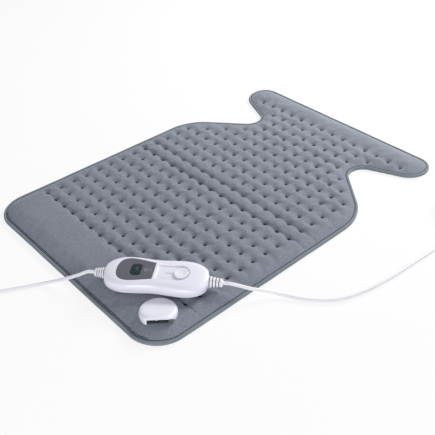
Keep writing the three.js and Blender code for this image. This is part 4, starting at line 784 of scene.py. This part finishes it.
def swellCloth(start, quads, held):
    cloth = addObject("swelling", rawMesh("swelling", start, quads))
    cloth.vertex_groups.new(name="held").add(np.flatnonzero(held).tolist(), 1.0, "REPLACE")
    swell = cloth.modifiers.new("swell", "CLOTH")
    for key, value in swelling["settings"].items():
        setattr(swell.settings, key, value)
    swell.settings.effector_weights.gravity = 0
    swell.collision_settings.use_collision = False
    swell.point_cache.frame_start = 1
    swell.point_cache.frame_end = swelling["frames"]
    for count in range(1, swelling["frames"] + 1):
        scene.frame_set(count)
    graph = bpy.context.evaluated_depsgraph_get()
    moved = pointsOf(cloth.evaluated_get(graph).data) - start
    scene.frame_set(1)
    bpy.data.objects.remove(cloth)
    reach = np.linalg.norm(moved, axis=1)
    print("cloth swelled by", round(float(np.median(reach)), 2), "mm, at most", round(float(reach.max()), 2))
    return start + moved * (np.minimum(reach, swelling["cap"]) / np.maximum(reach, 1e-9))[:, None]


# A skirt from the quilt's rim down to its underside
def addSkirt(shape):
    skirt = bmesh.ops.extrude_edge_only(shape, edges=rimOf(shape))["geom"]
    lower = [part for part in skirt if isinstance(part, bmesh.types.BMVert)]
    bmesh.ops.scale(shape, vec=(1, 1, 0), verts=lower)
    bmesh.ops.translate(shape, vec=(0, 0, pad["bottom"] * millimetre), verts=lower)


sewing = {
    "held": 0.5, "heldRim": 2, "hole": 3.0, "holeWidth": 2.5, "groove": 0.4, "grooveWidth": 1.0,
    "rowWidth": 1.2, "rowEnd": (200, 190), "least": 0.6, "holeDark": 1.2, "rowDark": 0.6, "seamDark": 0.25,
}


# Quilt: the swollen cloth, subdivided once, with a narrow hole at each tuft and the lower edge's second sewn
# line let into it, and a skirt and an underside that close it; holes, first row and seam are painted darker:
# dark thread at the tufts and along the first row, and painted shade in the holes, the row's crease and the
# valley where the cloth tucks under the roll
def makeQuilt():
    points, quads = clippedGrid(pad["tuck"], swelling["step"])
    inset = insetOf(points)
    start = np.column_stack([points, waddingHeight(points[:, 0], points[:, 1], inset)])
    toTuft = np.linalg.norm(points - tufts[nearestOn(tufts, points)], axis=1)
    rows = np.array([row for row, depth, width, side in foldRows])
    toRow = np.abs(points[:, 1:] - rowLine(rows)).min(axis=1)
    held = (toTuft < sewing["held"]) | (inset < pad["sewLine"] + sewing["heldRim"]) | (toRow < sewing["held"])
    piece = addObject("quilted_plush", rawMesh("quilted_plush", swellCloth(start, quads, held), quads))
    finer = piece.modifiers.new("finer", "SUBSURF")
    finer.levels = finer.render_levels = 1
    applyModifiers(piece)
    points = pointsOf(piece.data)
    inset = insetOf(points[:, :2])
    fromTuft = ((points[:, :2] - tufts[nearestOn(tufts, points[:, :2])]) ** 2).sum(axis=1)
    hole = np.exp(-fromTuft / sewing["holeWidth"] ** 2)
    groove = sewing["groove"] * np.exp(-((inset - pad["sewLine"]) / sewing["grooveWidth"]) ** 2)
    groove = groove * smooth(points[:, 1], pad["sewnBelow"] + 6, pad["sewnBelow"])
    row = np.exp(-np.abs(points[:, 1] - rowLine(0)) / sewing["rowWidth"])
    row = row * smooth(np.abs(points[:, 0]), *sewing["rowEnd"])
    points[:, 2] = np.maximum(points[:, 2] - sewing["hole"] * hole - groove, pad["bottom"] + sewing["least"])
    # Painted darkness: thread at the tufts and the first row, and painted shade in the holes, the crease and
    # by the roll
    drawn = sewing["holeDark"] * hole + sewing["rowDark"] * row
    drawn = drawn + sewing["seamDark"] * smooth(inset, pad["seam"] + 1.0, pad["seam"])
    piece.data.vertices.foreach_set("co", (points * millimetre).ravel())
    setShare(piece.data, "threadAndShade", np.clip(drawn, 0, 1))
    rework(piece.data, addSkirt, closeRims)
    declare(keepEdges(piece, 70), "plush", nodes=["quilted_top"])
    print("quilt:", len(points), "points,", len(tufts), "tufts")


makeQuilt()

roll = {
    "half": 2.4, "step": 2.4, "middle": 3.1, "rise": 2.9, "power": 0.8, "sewnLow": 0.10, "lowest": 0.25,
    "sides": 32, "uneven": ((0.035, 17.0, 0.0), (0.025, 7.3, 1.0)),
}


# Unit vectors at the right hand of a direction in plan
def rightOf(ahead):
    ahead = ahead / np.linalg.norm(ahead, axis=1)[:, None]
    return np.stack([ahead[:, 1], -ahead[:, 0]], axis=1)


# Rolled binding: a squared round carried along the outline, a little uneven, with its sewn side low
def makeBinding():
    line = padOutline(roll["half"], roll["step"])
    outward = rightOf(np.roll(line, -1, axis=0) - np.roll(line, 1, axis=0))
    length = np.arange(len(line))[:, None] * roll["step"]
    swell = 1
    for depth, wave, phase in roll["uneven"]:
        swell = swell + depth * np.sin(length / wave + phase)
    side, rise = squaredRound(roundAngles(roll["sides"]), roll["power"])
    reach = roll["half"] * side * swell
    level = roll["middle"] + roll["rise"] * rise * (1 - roll["sewnLow"] * (side < 0) * np.abs(side)) * swell
    level = np.maximum(level, roll["lowest"])
    flat = line[:, None, :] + outward[:, None, :] * reach[..., None]
    points = np.concatenate([flat, level[..., None]], axis=-1)
    piece = makeSurface("rolled_edge", points, "binding", True, nodes=["edge_binding"])
    setShare(piece.data, "threadAndShade", np.zeros(len(piece.data.vertices)))


makeBinding()

thread = {"radius": 0.46, "flat": 1.5, "bow": 0.35, "steps": 7, "sides": 6}


# Stitches beside the roll: short bowed threads, one every few millimetres, a little above or below the
# quilt's rim; a line may keep to the pad's lower edge
def makeStitches(name, inset, above, pitch, reach, below=math.inf):
    outline = padOutline(inset, 0.5)
    closed = np.vstack([outline, outline[:1]])
    length = np.concatenate([[0], np.cumsum(np.linalg.norm(np.diff(closed, axis=0), axis=1))])
    centres = np.arange(0, length[-1] - pitch / 2, pitch)
    centres = centres[np.interp(centres, length, closed[:, 1]) < below]
    t = np.linspace(-1, 1, thread["steps"])
    places = centres[:, None] + t * reach / 2
    line = np.stack([np.interp(np.mod(places, length[-1]), length, closed[:, k]) for k in (0, 1)], axis=-1)
    side = rightOf(line[:, -1] - line[:, 0])[:, None, None, :]
    level = pad["flange"] + (pad["crown"] - pad["flange"]) * rimShare(inset) + above
    bow = level + thread["bow"] * (1 - t ** 2)
    thin = thread["radius"] * np.sqrt(np.maximum(1 - t ** 4, 0.02))[:, None]
    angle = roundAngles(thread["sides"])
    # The thread is flattened wide, so its dark colour also paints the shade of the groove it lies in
    flat = line[:, :, None, :] + (thread["flat"] * thin * np.cos(angle))[None, ..., None] * side
    height = np.broadcast_to(bow[:, None] + thin * np.sin(angle), flat.shape[:-1])
    points = np.concatenate([flat, height[..., None]], axis=-1)
    starts = np.arange(len(centres)) * thread["steps"] * thread["sides"]
    quads = gridQuads(thread["steps"], thread["sides"], False, True) + starts[:, None, None]
    makePiece(name, points, quads.reshape(-1, 4), "seamThread", slot="binding", fillRims=True)


makeStitches("binding_stitches", pad["seam"], 0.05, 3.4, 3.0)
makeStitches("sewn_line_stitches", pad["sewLine"], -0.35, 3.6, 3.2, pad["sewnBelow"])

cut = padOutline(pad["layerInset"], 1.0)
layer = {"slack": 0.12, "slackLength": 70.0}


# Flat layer of cloth: the outline's grid at two heights, with a faint slackness
def makeLayer(name, low, high, step, node, finish):
    points, quads = clippedGrid(pad["layerInset"], step)
    slack = layer["slack"] * waves(points[:, 0], points[:, 1], layer["slackLength"], 5)
    top = np.column_stack([points, high + np.minimum(slack, 0)])
    bottom = np.column_stack([points, low + np.maximum(slack, 0) * 0.5])
    mesh = rawMesh(name, np.vstack([top, bottom]), np.vstack([quads, quads[:, ::-1] + len(points)]))
    rework(mesh, bridgeRims)
    piece = declare(keepEdges(addObject(name, mesh), 50), finish, nodes=[node])


makeLayer("back_cloth", 0.0, 1.2, 6.0, "back_cover", "back_fabric")
makeLayer("felt_layer", 1.5, 2.7, 8.0, "carrier_felt", "carrier_felt")
print("pad made")


# Socket on the pad's corner

hooded = {
    "origin": (162.0, -262.6, 12.3), "angle": -40.0, "radius": 25.9, "rim": 2.5, "crown": 11.0, "mouth": 20.0,
    "mouthRound": 1.4, "edgePower": 8.0, "edgeRound": 0.4, "creaseAt": 15.6, "crease": 0.3,
    "creaseWidth": 0.7, "slotHalf": 14.3, "slotTop": 8.0, "slotBack": 0.7, "stepBack": 12.2,
    "stepRight": 30.0, "stepTop": 8.3, "cutEnd": 40, "cutLow": -6,
}


def socketPlaced(points):
    return placed(points, hooded["origin"], hooded["angle"])


# Hood: over a round base, a thin rim and a crown that grows steadily from the back towards the mouth, with a
# shallow crease behind the lip; all beyond the mouth is drawn in to its plane over a rounded edge
def makeHood():
    angle = roundAngles(240)
    reach = (np.cos(np.linspace(0, np.pi / 2, 110)) ** 0.45)[:, None]
    radius = hooded["radius"]
    x = radius * reach * np.cos(angle)
    y = radius * reach * np.sin(angle)
    growth = (x + radius) / (hooded["mouth"] + radius)
    edge = (1 - reach ** hooded["edgePower"]) ** hooded["edgeRound"]
    crease = hooded["crease"] * np.exp(-((x - hooded["creaseAt"]) / hooded["creaseWidth"]) ** 2)
    level = hooded["rim"] + hooded["crown"] * edge * growth - crease * smooth(edge, 0.2, 0.6)
    x = softLower(x, np.full_like(x, hooded["mouth"]), hooded["mouthRound"])
    inward = np.array([0.0, 0.98, 1.0])[:, None]
    foot = np.array([0.0, 0.0, 0.4])[:, None]
    under = np.stack([x[0] * inward, y[0] * inward, foot + 0 * angle], axis=-1)
    points = np.concatenate([under, np.stack([x, y, level], axis=-1)])
    return makeSurface("socket_hood", socketPlaced(points), "white_plastic", nodes=["socket_cover"])


# A rounded block along the socket's axis, in its own frame; its top may rise from one level to another
def socketBlock(name, back, fore, left, right, low, high, finish, power=9.0):
    size = np.array([0, 1, 1, 0])
    tops = np.repeat(np.broadcast_to(np.asarray(high, float), 2), 2)
    points = loftPoints([back, back, fore, fore], size * (right - left), size * (tops - low), power, 72)
    points[..., 1] += (left + right) / 2
    points[..., 2] += (tops[:, None] + low) / 2
    return makeSurface(name, socketPlaced(points), finish)


# The mouth: a slot as far back as the contacts, and a slanting cut that takes off the corner at its right
def cutMouth(hood):
    half = hooded["slotHalf"]
    end = hooded["cutEnd"]
    slope = hooded["stepTop"] / (hooded["mouth"] - hooded["stepBack"])
    rise = (0.2, slope * (end - hooded["stepBack"]))
    boxes = (("slot_cutter", hooded["slotBack"], -half, half, hooded["slotTop"]),
             ("step_cutter", hooded["stepBack"], half - 0.6, hooded["stepRight"], rise))
    cutters = [socketBlock(name, back, end, left, right, hooded["cutLow"], high, "white_plastic", 14.0)
               for name, back, left, right, high in boxes]
    for cutter in cutters:
        carve = hood.modifiers.new(cutter.name, "BOOLEAN")
        carve.object = cutter
        carve.operation = "DIFFERENCE"
        carve.solver = "EXACT"
    applyModifiers(hood)
    for cutter in cutters:
        bpy.data.objects.remove(cutter)
    hood.data.shade_smooth()
    keepEdges(hood, 32)


# A latch at the mouth's cut corner, a nub on its lip and two dark ribs in its slot, whose dark plastic paints
# the shade of the gaps between the slot's guides
def furnishMouth():
    half = hooded["slotHalf"]
    end = hooded["mouth"]
    top = hooded["slotTop"]
    latch = socketBlock(
        "socket_latch", end - 7.0, end - 0.8, half - 0.5, half + 5.6, 0.05, (0.5, 7.0), "grey_panel")
    keepEdges(latch, 40)
    socketBlock("mouth_nub", end - 1.8, end + 0.2, -2.6, 0.0, top - 1.1, top + 1.0, "white_plastic", 2.4)
    # Painted shade: dark ribs stand for the shadowed gaps along the slot's floor
    for k, y in enumerate((-1.3, 12.3)):
        rib = socketBlock(f"slot_shade_rib_{k + 1}", 8.0, end - 0.3, y - 0.4, y + 0.4, 1.9, 4.6, "dark_plastic")
        keepEdges(rib, 40)


cutMouth(makeHood())
furnishMouth()
print("socket made")


# Controller

def casePlaced(points):
    return placed(points, case["origin"], case["angle"])


# Half width along the case: a waisted middle that rounds in to the noses
def caseHalfWidth(u):
    past = np.maximum(np.abs(u) - case["roundStart"], 0) / (case["halfLength"] - case["roundStart"])
    rounding = np.sqrt(np.maximum(1 - np.minimum(past, 1) ** case["roundPower"], 0))
    pinch = np.exp(-(u / case["waistSpread"]) ** 2)
    body = (case["endWidth"] + (case["waistWidth"] - case["endWidth"]) * pinch) / 2
    nose = case["noseWidth"] / 2
    return nose + (body - nose) * rounding


# The last stretch of each nose rounds in a little
def noseDraw(u):
    past = np.clip((np.abs(u) - case["halfLength"] + case["noseRound"]) / case["noseRound"], 0, 1)
    return case["noseKept"] + (1 - case["noseKept"]) * np.sqrt(np.maximum(1 - past ** 2, 0))


front = {
    "panelLeft": -54.5, "panelRight": -3.3, "wide": 21.8, "narrow": 16.0, "round": 19.0, "panelTop": 23.1,
    "pocketFloor": 21.8, "pocketEdge": (0.35, -0.25), "pocketGap": 0.3, "pocketMiddle": -28,
    "pocketReach": 32, "pocketFar": 9.0, "windowU": -27.5, "windowLength": 15.5, "windowWidth": 22.5,
    "windowPower": 3.4, "windowLow": 21.9, "recessLeft": 1.2, "recessRight": 46.4, "recessHalf": 14.8,
    "recessDepth": 2.2, "recessEdge": (0.35, -0.65), "slotHalf": 1.5, "slotReach": 12.8, "slotDepth": 1.5,
    "slotEdge": (0.3, -0.3), "knobU": 34.8, "travel": 21.0, "ridgeU": -1.0, "ridgeWidth": 1.5,
    "ridgeEnd": (15.5, 14.0), "ridge": 0.35,
}
recessFloor = case["topFace"] - front["recessDepth"]


# Panel outline: straight at the slide, bowed along its sides and half round at the other end
def panelOutline(grow, steps=28):
    left = front["panelLeft"] - grow
    right = front["panelRight"] + grow
    wide = front["wide"] + grow
    narrow = front["narrow"] + grow
    middle = (left + right) / 2
    turn = left + front["round"]
    t = np.linspace(0, 1, steps, endpoint=False)[:, None]

    def bow(a, b, c):
        return (1 - t) ** 2 * np.array(a) + 2 * t * (1 - t) * np.array(b) + t ** 2 * np.array(c)

    return np.vstack([
        bow((right, -narrow), (right, 0), (right, narrow)),
        bow((right, narrow), (middle, wide), (turn, wide)),
        bow((turn, wide), (left, wide), (left, 0)),
        bow((left, 0), (left, -wide), (turn, -wide)),
        bow((turn, -wide), (middle, -wide), (right, -narrow))])


# Distance from an outline, less than nothing inside it
def signedFrom(outline, points):
    near = np.linalg.norm(points - outline[nearestOn(outline, points)], axis=1)
    return np.where(insideOf(outline, points), -near, near)


# Distance from the slide's recess: a square end by the panel and a half round one
def recessDistance(u, v):
    half = front["recessHalf"]
    centre = front["recessRight"] - half
    straight = np.maximum(np.abs(v) - half, front["recessLeft"] - u)
    return np.where(u < centre, straight, np.hypot(u - centre, v) - half)


# Sections of a shell: distance along and across the case, how far the nose keeps its height, the share of
# the section's height, and how far the ends have bent; rows lie evenly or closer to the noses
def caseSections(rows, columns, even):
    half = case["halfLength"]
    u = half * np.sin(np.linspace(-np.pi / 2, np.pi / 2, rows))[:, None]
    u = (1 - even) * u + even * half * np.linspace(-1, 1, rows)[:, None]
    turn = np.linspace(-np.pi / 2, np.pi / 2, columns)[None, :]
    kept = noseDraw(u)
    v = caseHalfWidth(u) * kept * np.sin(turn)
    dome = np.maximum(1 - np.abs(np.sin(turn)) ** 3, 0) ** (1 / 3)
    return np.broadcast_to(u, v.shape), v, kept, dome, (np.abs(u) / half) ** 4


# Upper shell: superellipse sections over the parting line, cut soft at the flat front, with the panel's
# pocket, the slide's recess and its slot let into the top, and the ends drawn in under the boots
def makeUpperShell():
    u, v, kept, dome, bent = caseSections(rows=330, columns=200, even=0.55)
    base = case["parting"] + case["gap"] / 2
    level = base + (case["height"] - case["endDroop"] * bent - base) * kept * dome
    level = softLower(level, np.full_like(level, case["topFace"]), case["topRound"])
    flat = np.stack([u.ravel(), v.ravel()], axis=1)
    near = np.abs(flat[:, 0] - front["pocketMiddle"]) < front["pocketReach"]
    pocket = np.full(len(flat), front["pocketFar"])
    pocket[near] = signedFrom(panelOutline(front["pocketGap"]), flat[near])
    recess = recessDistance(u, v)
    middle = front["knobU"] - front["travel"] / 2
    slot = np.maximum(np.abs(v) - front["slotHalf"], np.abs(u - middle) - front["slotReach"])
    sunk = ((pocket.reshape(v.shape), front["pocketFloor"], front["pocketEdge"]),
            (recess, recessFloor, front["recessEdge"]))
    for distance, floor, edge in sunk:
        level = level + (np.minimum(level, floor) - level) * smooth(distance, *edge)
    level = level - front["slotDepth"] * smooth(slot, *front["slotEdge"])
    ridge = np.exp(-((u - front["ridgeU"]) / front["ridgeWidth"]) ** 2)
    ridge = ridge * smooth(np.abs(v), *front["ridgeEnd"])
    points = np.stack([u, v, level + front["ridge"] * ridge], axis=-1)
    return makeSurface("upper_case", casePlaced(points), "white_plastic", closeColumns=False,
                       nodes=["upper_shell"], fillRims=True)


# Lower shell: the same plan below the parting line, with its belly flat where it rests
def makeLowerShell():
    u, v, kept, dome, bent = caseSections(rows=140, columns=90, even=0.0)
    top = case["parting"] - case["gap"] / 2
    level = top + (case["endRise"] * bent - top) * kept * dome
    points = np.stack([u, v, level], axis=-1)
    return makeSurface("lower_case", casePlaced(points), "white_plastic", closeColumns=False,
                       nodes=["lower_shell"], fillRims=True)


keepEdges(makeUpperShell(), 45)
keepEdges(makeLowerShell(), 60)


# Window outline: a rectangle with well rounded corners, as the reach in each direction from its centre
def windowReach(angle, grow):
    length = front["windowLength"] / 2 + grow
    width = front["windowWidth"] / 2 + grow
    power = front["windowPower"]
    across = (np.abs(np.cos(angle)) / length) ** power
    along = (np.abs(np.sin(angle)) / width) ** power
    return (across + along) ** (-1 / power)


# Rings about a place on the case's middle line: the reach of each in every direction, and its level
def ringPoints(centre, reach, level, angle):
    level = level[:, None] + 0 * angle
    return np.stack([centre + reach * np.cos(angle), reach * np.sin(angle), level], axis=-1)


# Panel: a flat ring between the window and the outline, both edges rounded over, with a real thickness
def makePanel():
    angle = roundAngles(240)
    outline = panelOutline(0.0) - np.array([front["windowU"], 0.0])
    around = np.arctan2(outline[:, 1], outline[:, 0])
    outer = np.interp(angle, around, np.hypot(outline[:, 0], outline[:, 1]), period=2 * np.pi)
    inner = windowReach(angle, 0.2)
    top = front["panelTop"]
    low = front["pocketFloor"] + 0.2
    across = np.array([0, 0, 0.05, 0.2, 0.5, 0.8, 0.95, 1, 1])[:, None]
    level = np.array([low, top - 0.25, top, top, top, top, top, top - 0.25, low])
    points = ringPoints(front["windowU"], inner + (outer - inner) * across, level, angle)
    return makeSurface("display_panel", casePlaced(points), "grey_panel", True, nodes=["front_panel"])


# Window: a low lens inside the panel's opening, slightly domed, with a rolled edge
def makeWindow():
    angle = roundAngles(160)
    across = np.array([0, 1.0, 1.0, 0.97, 0.9, 0.75, 0.5, 0.25, 0])[:, None]
    low = front["windowLow"]
    top = front["panelTop"] + 0.15
    level = np.array([low, low, top - 0.35, top - 0.08, top, top + 0.05, top + 0.09, top + 0.11, top + 0.12])
    points = ringPoints(front["windowU"], windowReach(angle, 0.0) * across, level, angle)
    return makeSurface("display_lens", casePlaced(points), "display_window", nodes=["display_window"])


keepEdges(makePanel(), 40)
keepEdges(makeWindow(), 50)


# Print: thin inked shapes on a level of the front, each one a closed outline
def makePrint(name, level, outlines, finish, slot, half=0.05):
    blocks = []
    faces = []
    start = 0
    for ring in outlines:
        blocks += [np.column_stack([ring, np.full(len(ring), level + side)]) for side in (-half, half)]
        faces.append(gridQuads(2, len(ring), False, True) + start)
        start += 2 * len(ring)
    makePiece(name, casePlaced(np.vstack(blocks)), np.vstack(faces), finish, slot=slot, fillRims=True)


def strokeOutline(a, b, width):
    a, b = np.array(a, float), np.array(b, float)
    side = np.array([-(b - a)[1], (b - a)[0]]) / np.linalg.norm(b - a) * width / 2
    return np.array([a + side, a - side, b - side, b + side])


def arcOutline(centre, radius, width, start, end, steps=36):
    angle = np.radians(np.linspace(start, end, steps))
    ray = np.stack([np.cos(angle), np.sin(angle)], axis=1)
    return np.array(centre) + np.vstack([ray * (radius + width / 2), (ray * (radius - width / 2))[::-1]])


marks = {
    "ringU": -13.6, "ringV": 0.6, "ring": 2.7, "gap": (130, 410), "stroke": (0.4, 3.4), "barU": -7.4,
    "bar": (-2.4, 3.6), "ink": 0.65, "displayHalf": 5.5, "displayWidth": 5.0,
    "levels": (10.5, 15.5, 20.5, 25.5), "levelV": -13.4, "levelLeast": 0.9, "levelGrowth": 0.09,
    "levelFrom": 26, "levelInk": 0.7,
}


# An upright stroke at a distance along the case
def upright(u, low, high, width):
    return strokeOutline((u, low), (u, high), width)


# A broken ring with a stroke at its gap, a bar beside it, a faint bar in the window and rising level marks
def printMarks():
    ringU, ringV, ink = marks["ringU"], marks["ringV"], marks["ink"]
    half = marks["displayHalf"]
    low = marks["levelV"]
    makePrint("panel_marks", front["panelTop"], [
        arcOutline((ringU, ringV), marks["ring"], ink, *marks["gap"]),
        upright(ringU, *(ringV + end for end in marks["stroke"]), ink),
        upright(marks["barU"], *marks["bar"], ink)], "panelPrint", "grey_panel")
    makePrint("display_bar", front["panelTop"] + 0.26, [
        upright(front["windowU"], -half, half, marks["displayWidth"])], "displayGlow", "display_window")
    makePrint("level_marks", recessFloor + 0.02, [
        upright(u, low, low + marks["levelLeast"] + marks["levelGrowth"] * (marks["levelFrom"] - u),
                marks["levelInk"]) for u in marks["levels"]], "shellPrint", "white_plastic")


printMarks()

knob = {
    "radius": 10.0, "clear": 0.3, "rise": 2.5, "round": 0.8, "dishRadius": 8.4, "dishFloor": 3.0,
    "dish": 0.95, "stemLow": 19.75, "stemLength": 2.0, "stemWidth": 1.4, "stemPower": 0.3,
}


# Knob: a turned cap with a dished top and a rounded rim, over a short stem
def makeKnob():
    radius = knob["radius"]
    floor = recessFloor + knob["clear"]
    top = floor + knob["rise"]
    over = np.linspace(0, np.pi / 2, 8)
    dish = np.linspace(knob["dishRadius"], 0, 24)
    inset = radius - knob["round"]
    distance = np.concatenate([[0, radius - 0.3, radius], inset + knob["round"] * np.cos(over), dish])
    level = np.concatenate([
        [floor, floor, floor + 0.3], top - knob["round"] + knob["round"] * np.sin(over),
        top - knob["dish"] * smooth(dish, knob["dishRadius"], knob["dishFloor"])])
    angle = roundAngles(96)
    cap = ringPoints(front["knobU"], distance[:, None], level, angle)
    across, along = squaredRound(angle, knob["stemPower"])
    size = np.array([0, 1.0, 1.0, 0])[:, None]
    stemLevel = np.array([knob["stemLow"], knob["stemLow"], floor + 0.4, floor + 0.4])[:, None]
    stem = np.stack([
        front["knobU"] + knob["stemLength"] * size * across, knob["stemWidth"] * size * along,
        stemLevel + 0 * angle], axis=-1)
    stemQuads = gridQuads(*stem.shape[:2], False, True) + cap[..., 0].size
    quads = np.vstack([gridQuads(*cap.shape[:2], False, True), stemQuads])
    return makePiece("heat_knob", casePlaced(np.concatenate([cap, stem])), quads, "knobPlastic", body="slide",
                     nodes=["slide_knob"], slot="white_plastic")


keepEdges(makeKnob(), 50)

boot = {
    "start": 71.8, "wide": 17.0, "tip": 11.0, "ribs": 5, "groove": 2.5, "flare": 1.4, "inside": 1.8,
    "sides": 64,
}


# How deep the groove between two ribs is at a share of the boot's length
def grooveShare(share):
    phase = share * boot["ribs"]
    return smooth(np.abs(np.mod(phase, 1.0) - 0.8), 0.20, 0.12) * (phase < boot["ribs"] - 0.6) * (share > 0)


# Ribbed boot: a cone whose radius drops steeply between its flat ribs, flaring where it meets the case
def makeBoot(name, side, length, node):
    share = np.linspace(0, 1, 260)
    cone = (boot["wide"] + (boot["tip"] - boot["wide"]) * share) / 2
    radius = cone - boot["groove"] * grooveShare(share) + boot["flare"] * np.exp(-share / 0.04)
    radius = radius * np.sqrt(1 - 0.6 * np.clip((share - 0.94) / 0.06, 0, 1) ** 3)
    begin = boot["start"] - boot["inside"]
    span = length + boot["inside"]
    distance = begin + span * np.concatenate([[0], share, [1]])
    points = turnedPoints(distance, np.concatenate([[0], radius, [0]]), boot["sides"])
    points = points * np.array([side, side, 1]) + np.array([0, 0, case["parting"]])
    piece = makeSurface(name, casePlaced(points), "boot_plastic", nodes=[node])
    turn = math.radians(case["angle"])
    ray = np.array([math.cos(turn), math.sin(turn)]) * side
    along = (pointsOf(piece.data)[:, :2] - np.array(case["origin"][:2])) @ ray
    # Where the paint puts painted shade: deep in the grooves between the ribs
    setShare(piece.data, "groove", grooveShare((along - begin) / span))


makeBoot("mains_ribbed_boot", mainsLead["side"], mainsLead["boot"], "mains_lead_boot")
makeBoot("pad_ribbed_boot", padLead["side"], padLead["boot"], "pad_lead_boot")
print("controller made")


# Finishes for the CAD nodes that stay

stays = [name for name, node in frame["nodes"].items() if not node.hide_render]
slotOf = {sub["node"]: sub["material_slot"] for sub in frame["record"]["subparts"]}
for name in stays:
    node = frame["nodes"][name]
    node.data.materials.clear()
    node.data.materials.append(paints[slotOf[name]])
print("nodes kept from the CAD:", len(stays))


# Floor and light

stage = {
    "half": 6, "level": -0.0002, "pale": (0.86, 0.90), "whitened": 0.84, "sky": (0.93, 0.95, 1.0),
    "skyPower": 0.42,
}


# White where the camera, a mirror or clear plastic looks at it, plain light elsewhere
def makeFloor():
    paint = Paint("pale_floor")
    dim, bright = (tone(1, 1, 1, share) for share in stage["pale"])
    paint.finish(paint.mix(paint.noise(6.0, 2.0), dim, bright), 0.8)
    glow = paint.node("ShaderNodeEmission", {}, {"Color": (1, 1, 1, 1), "Strength": 1.0})
    lit = Wire(paint, paint.shader.outputs[0])
    surface = paint.node("ShaderNodeMixShader", {}, {0: paint.looked() * stage["whitened"], 1: lit, 2: glow})
    paint.feed(paint.tree.nodes["Material Output"].inputs["Surface"], surface)
    mesh = bpy.data.meshes.new("floor")
    far, level = stage["half"], stage["level"]
    corners = [(x * far, y * far, level) for x, y in ((-1, -1), (1, -1), (1, 1), (-1, 1))]
    mesh.from_pydata(corners, [], [(0, 1, 2, 3)])
    mesh.materials.append(paint.material)
    addObject("floor", mesh)


def makeWorld():
    world = bpy.data.worlds.new("studio")
    world.use_nodes = True
    scene.world = world
    paint = Paint.over(world.node_tree)
    dimmed = {"Color": (*stage["sky"], 1), "Strength": stage["skyPower"]}
    soft = paint.node("ShaderNodeBackground", {}, dimmed)
    white = paint.node("ShaderNodeBackground", {}, {"Color": (1, 1, 1, 1), "Strength": 1.0})
    sky = paint.node("ShaderNodeMixShader", {}, {0: paint.looked(), 1: soft, 2: white})
    paint.feed(paint.tree.nodes["World Output"].inputs["Surface"], sky)


def makeLamp(name, place, aim, size, power, colour):
    data = bpy.data.lights.new(name, "AREA")
    data.shape = "DISK"
    data.size = size
    data.energy = power
    data.color = colour
    back = np.array(place, float) - np.array(aim, float)
    back /= np.linalg.norm(back)
    right = np.cross((0, 0, 1), back)
    right /= np.linalg.norm(right)
    standObject(name, data, right, np.cross(back, right), back, place)


makeFloor()
makeWorld()
makeLamp("window_light", (0.0, 1.38, 0.95), (0.0, 0.05, 0.0), 0.7, 28.5, (1.0, 0.99, 0.97))
makeLamp("front_fill", (1.15, -1.25, 0.34), (0.1, -0.25, 0.02), 1.1, 13.0, (0.98, 0.98, 1.0))
print("floor and light set")
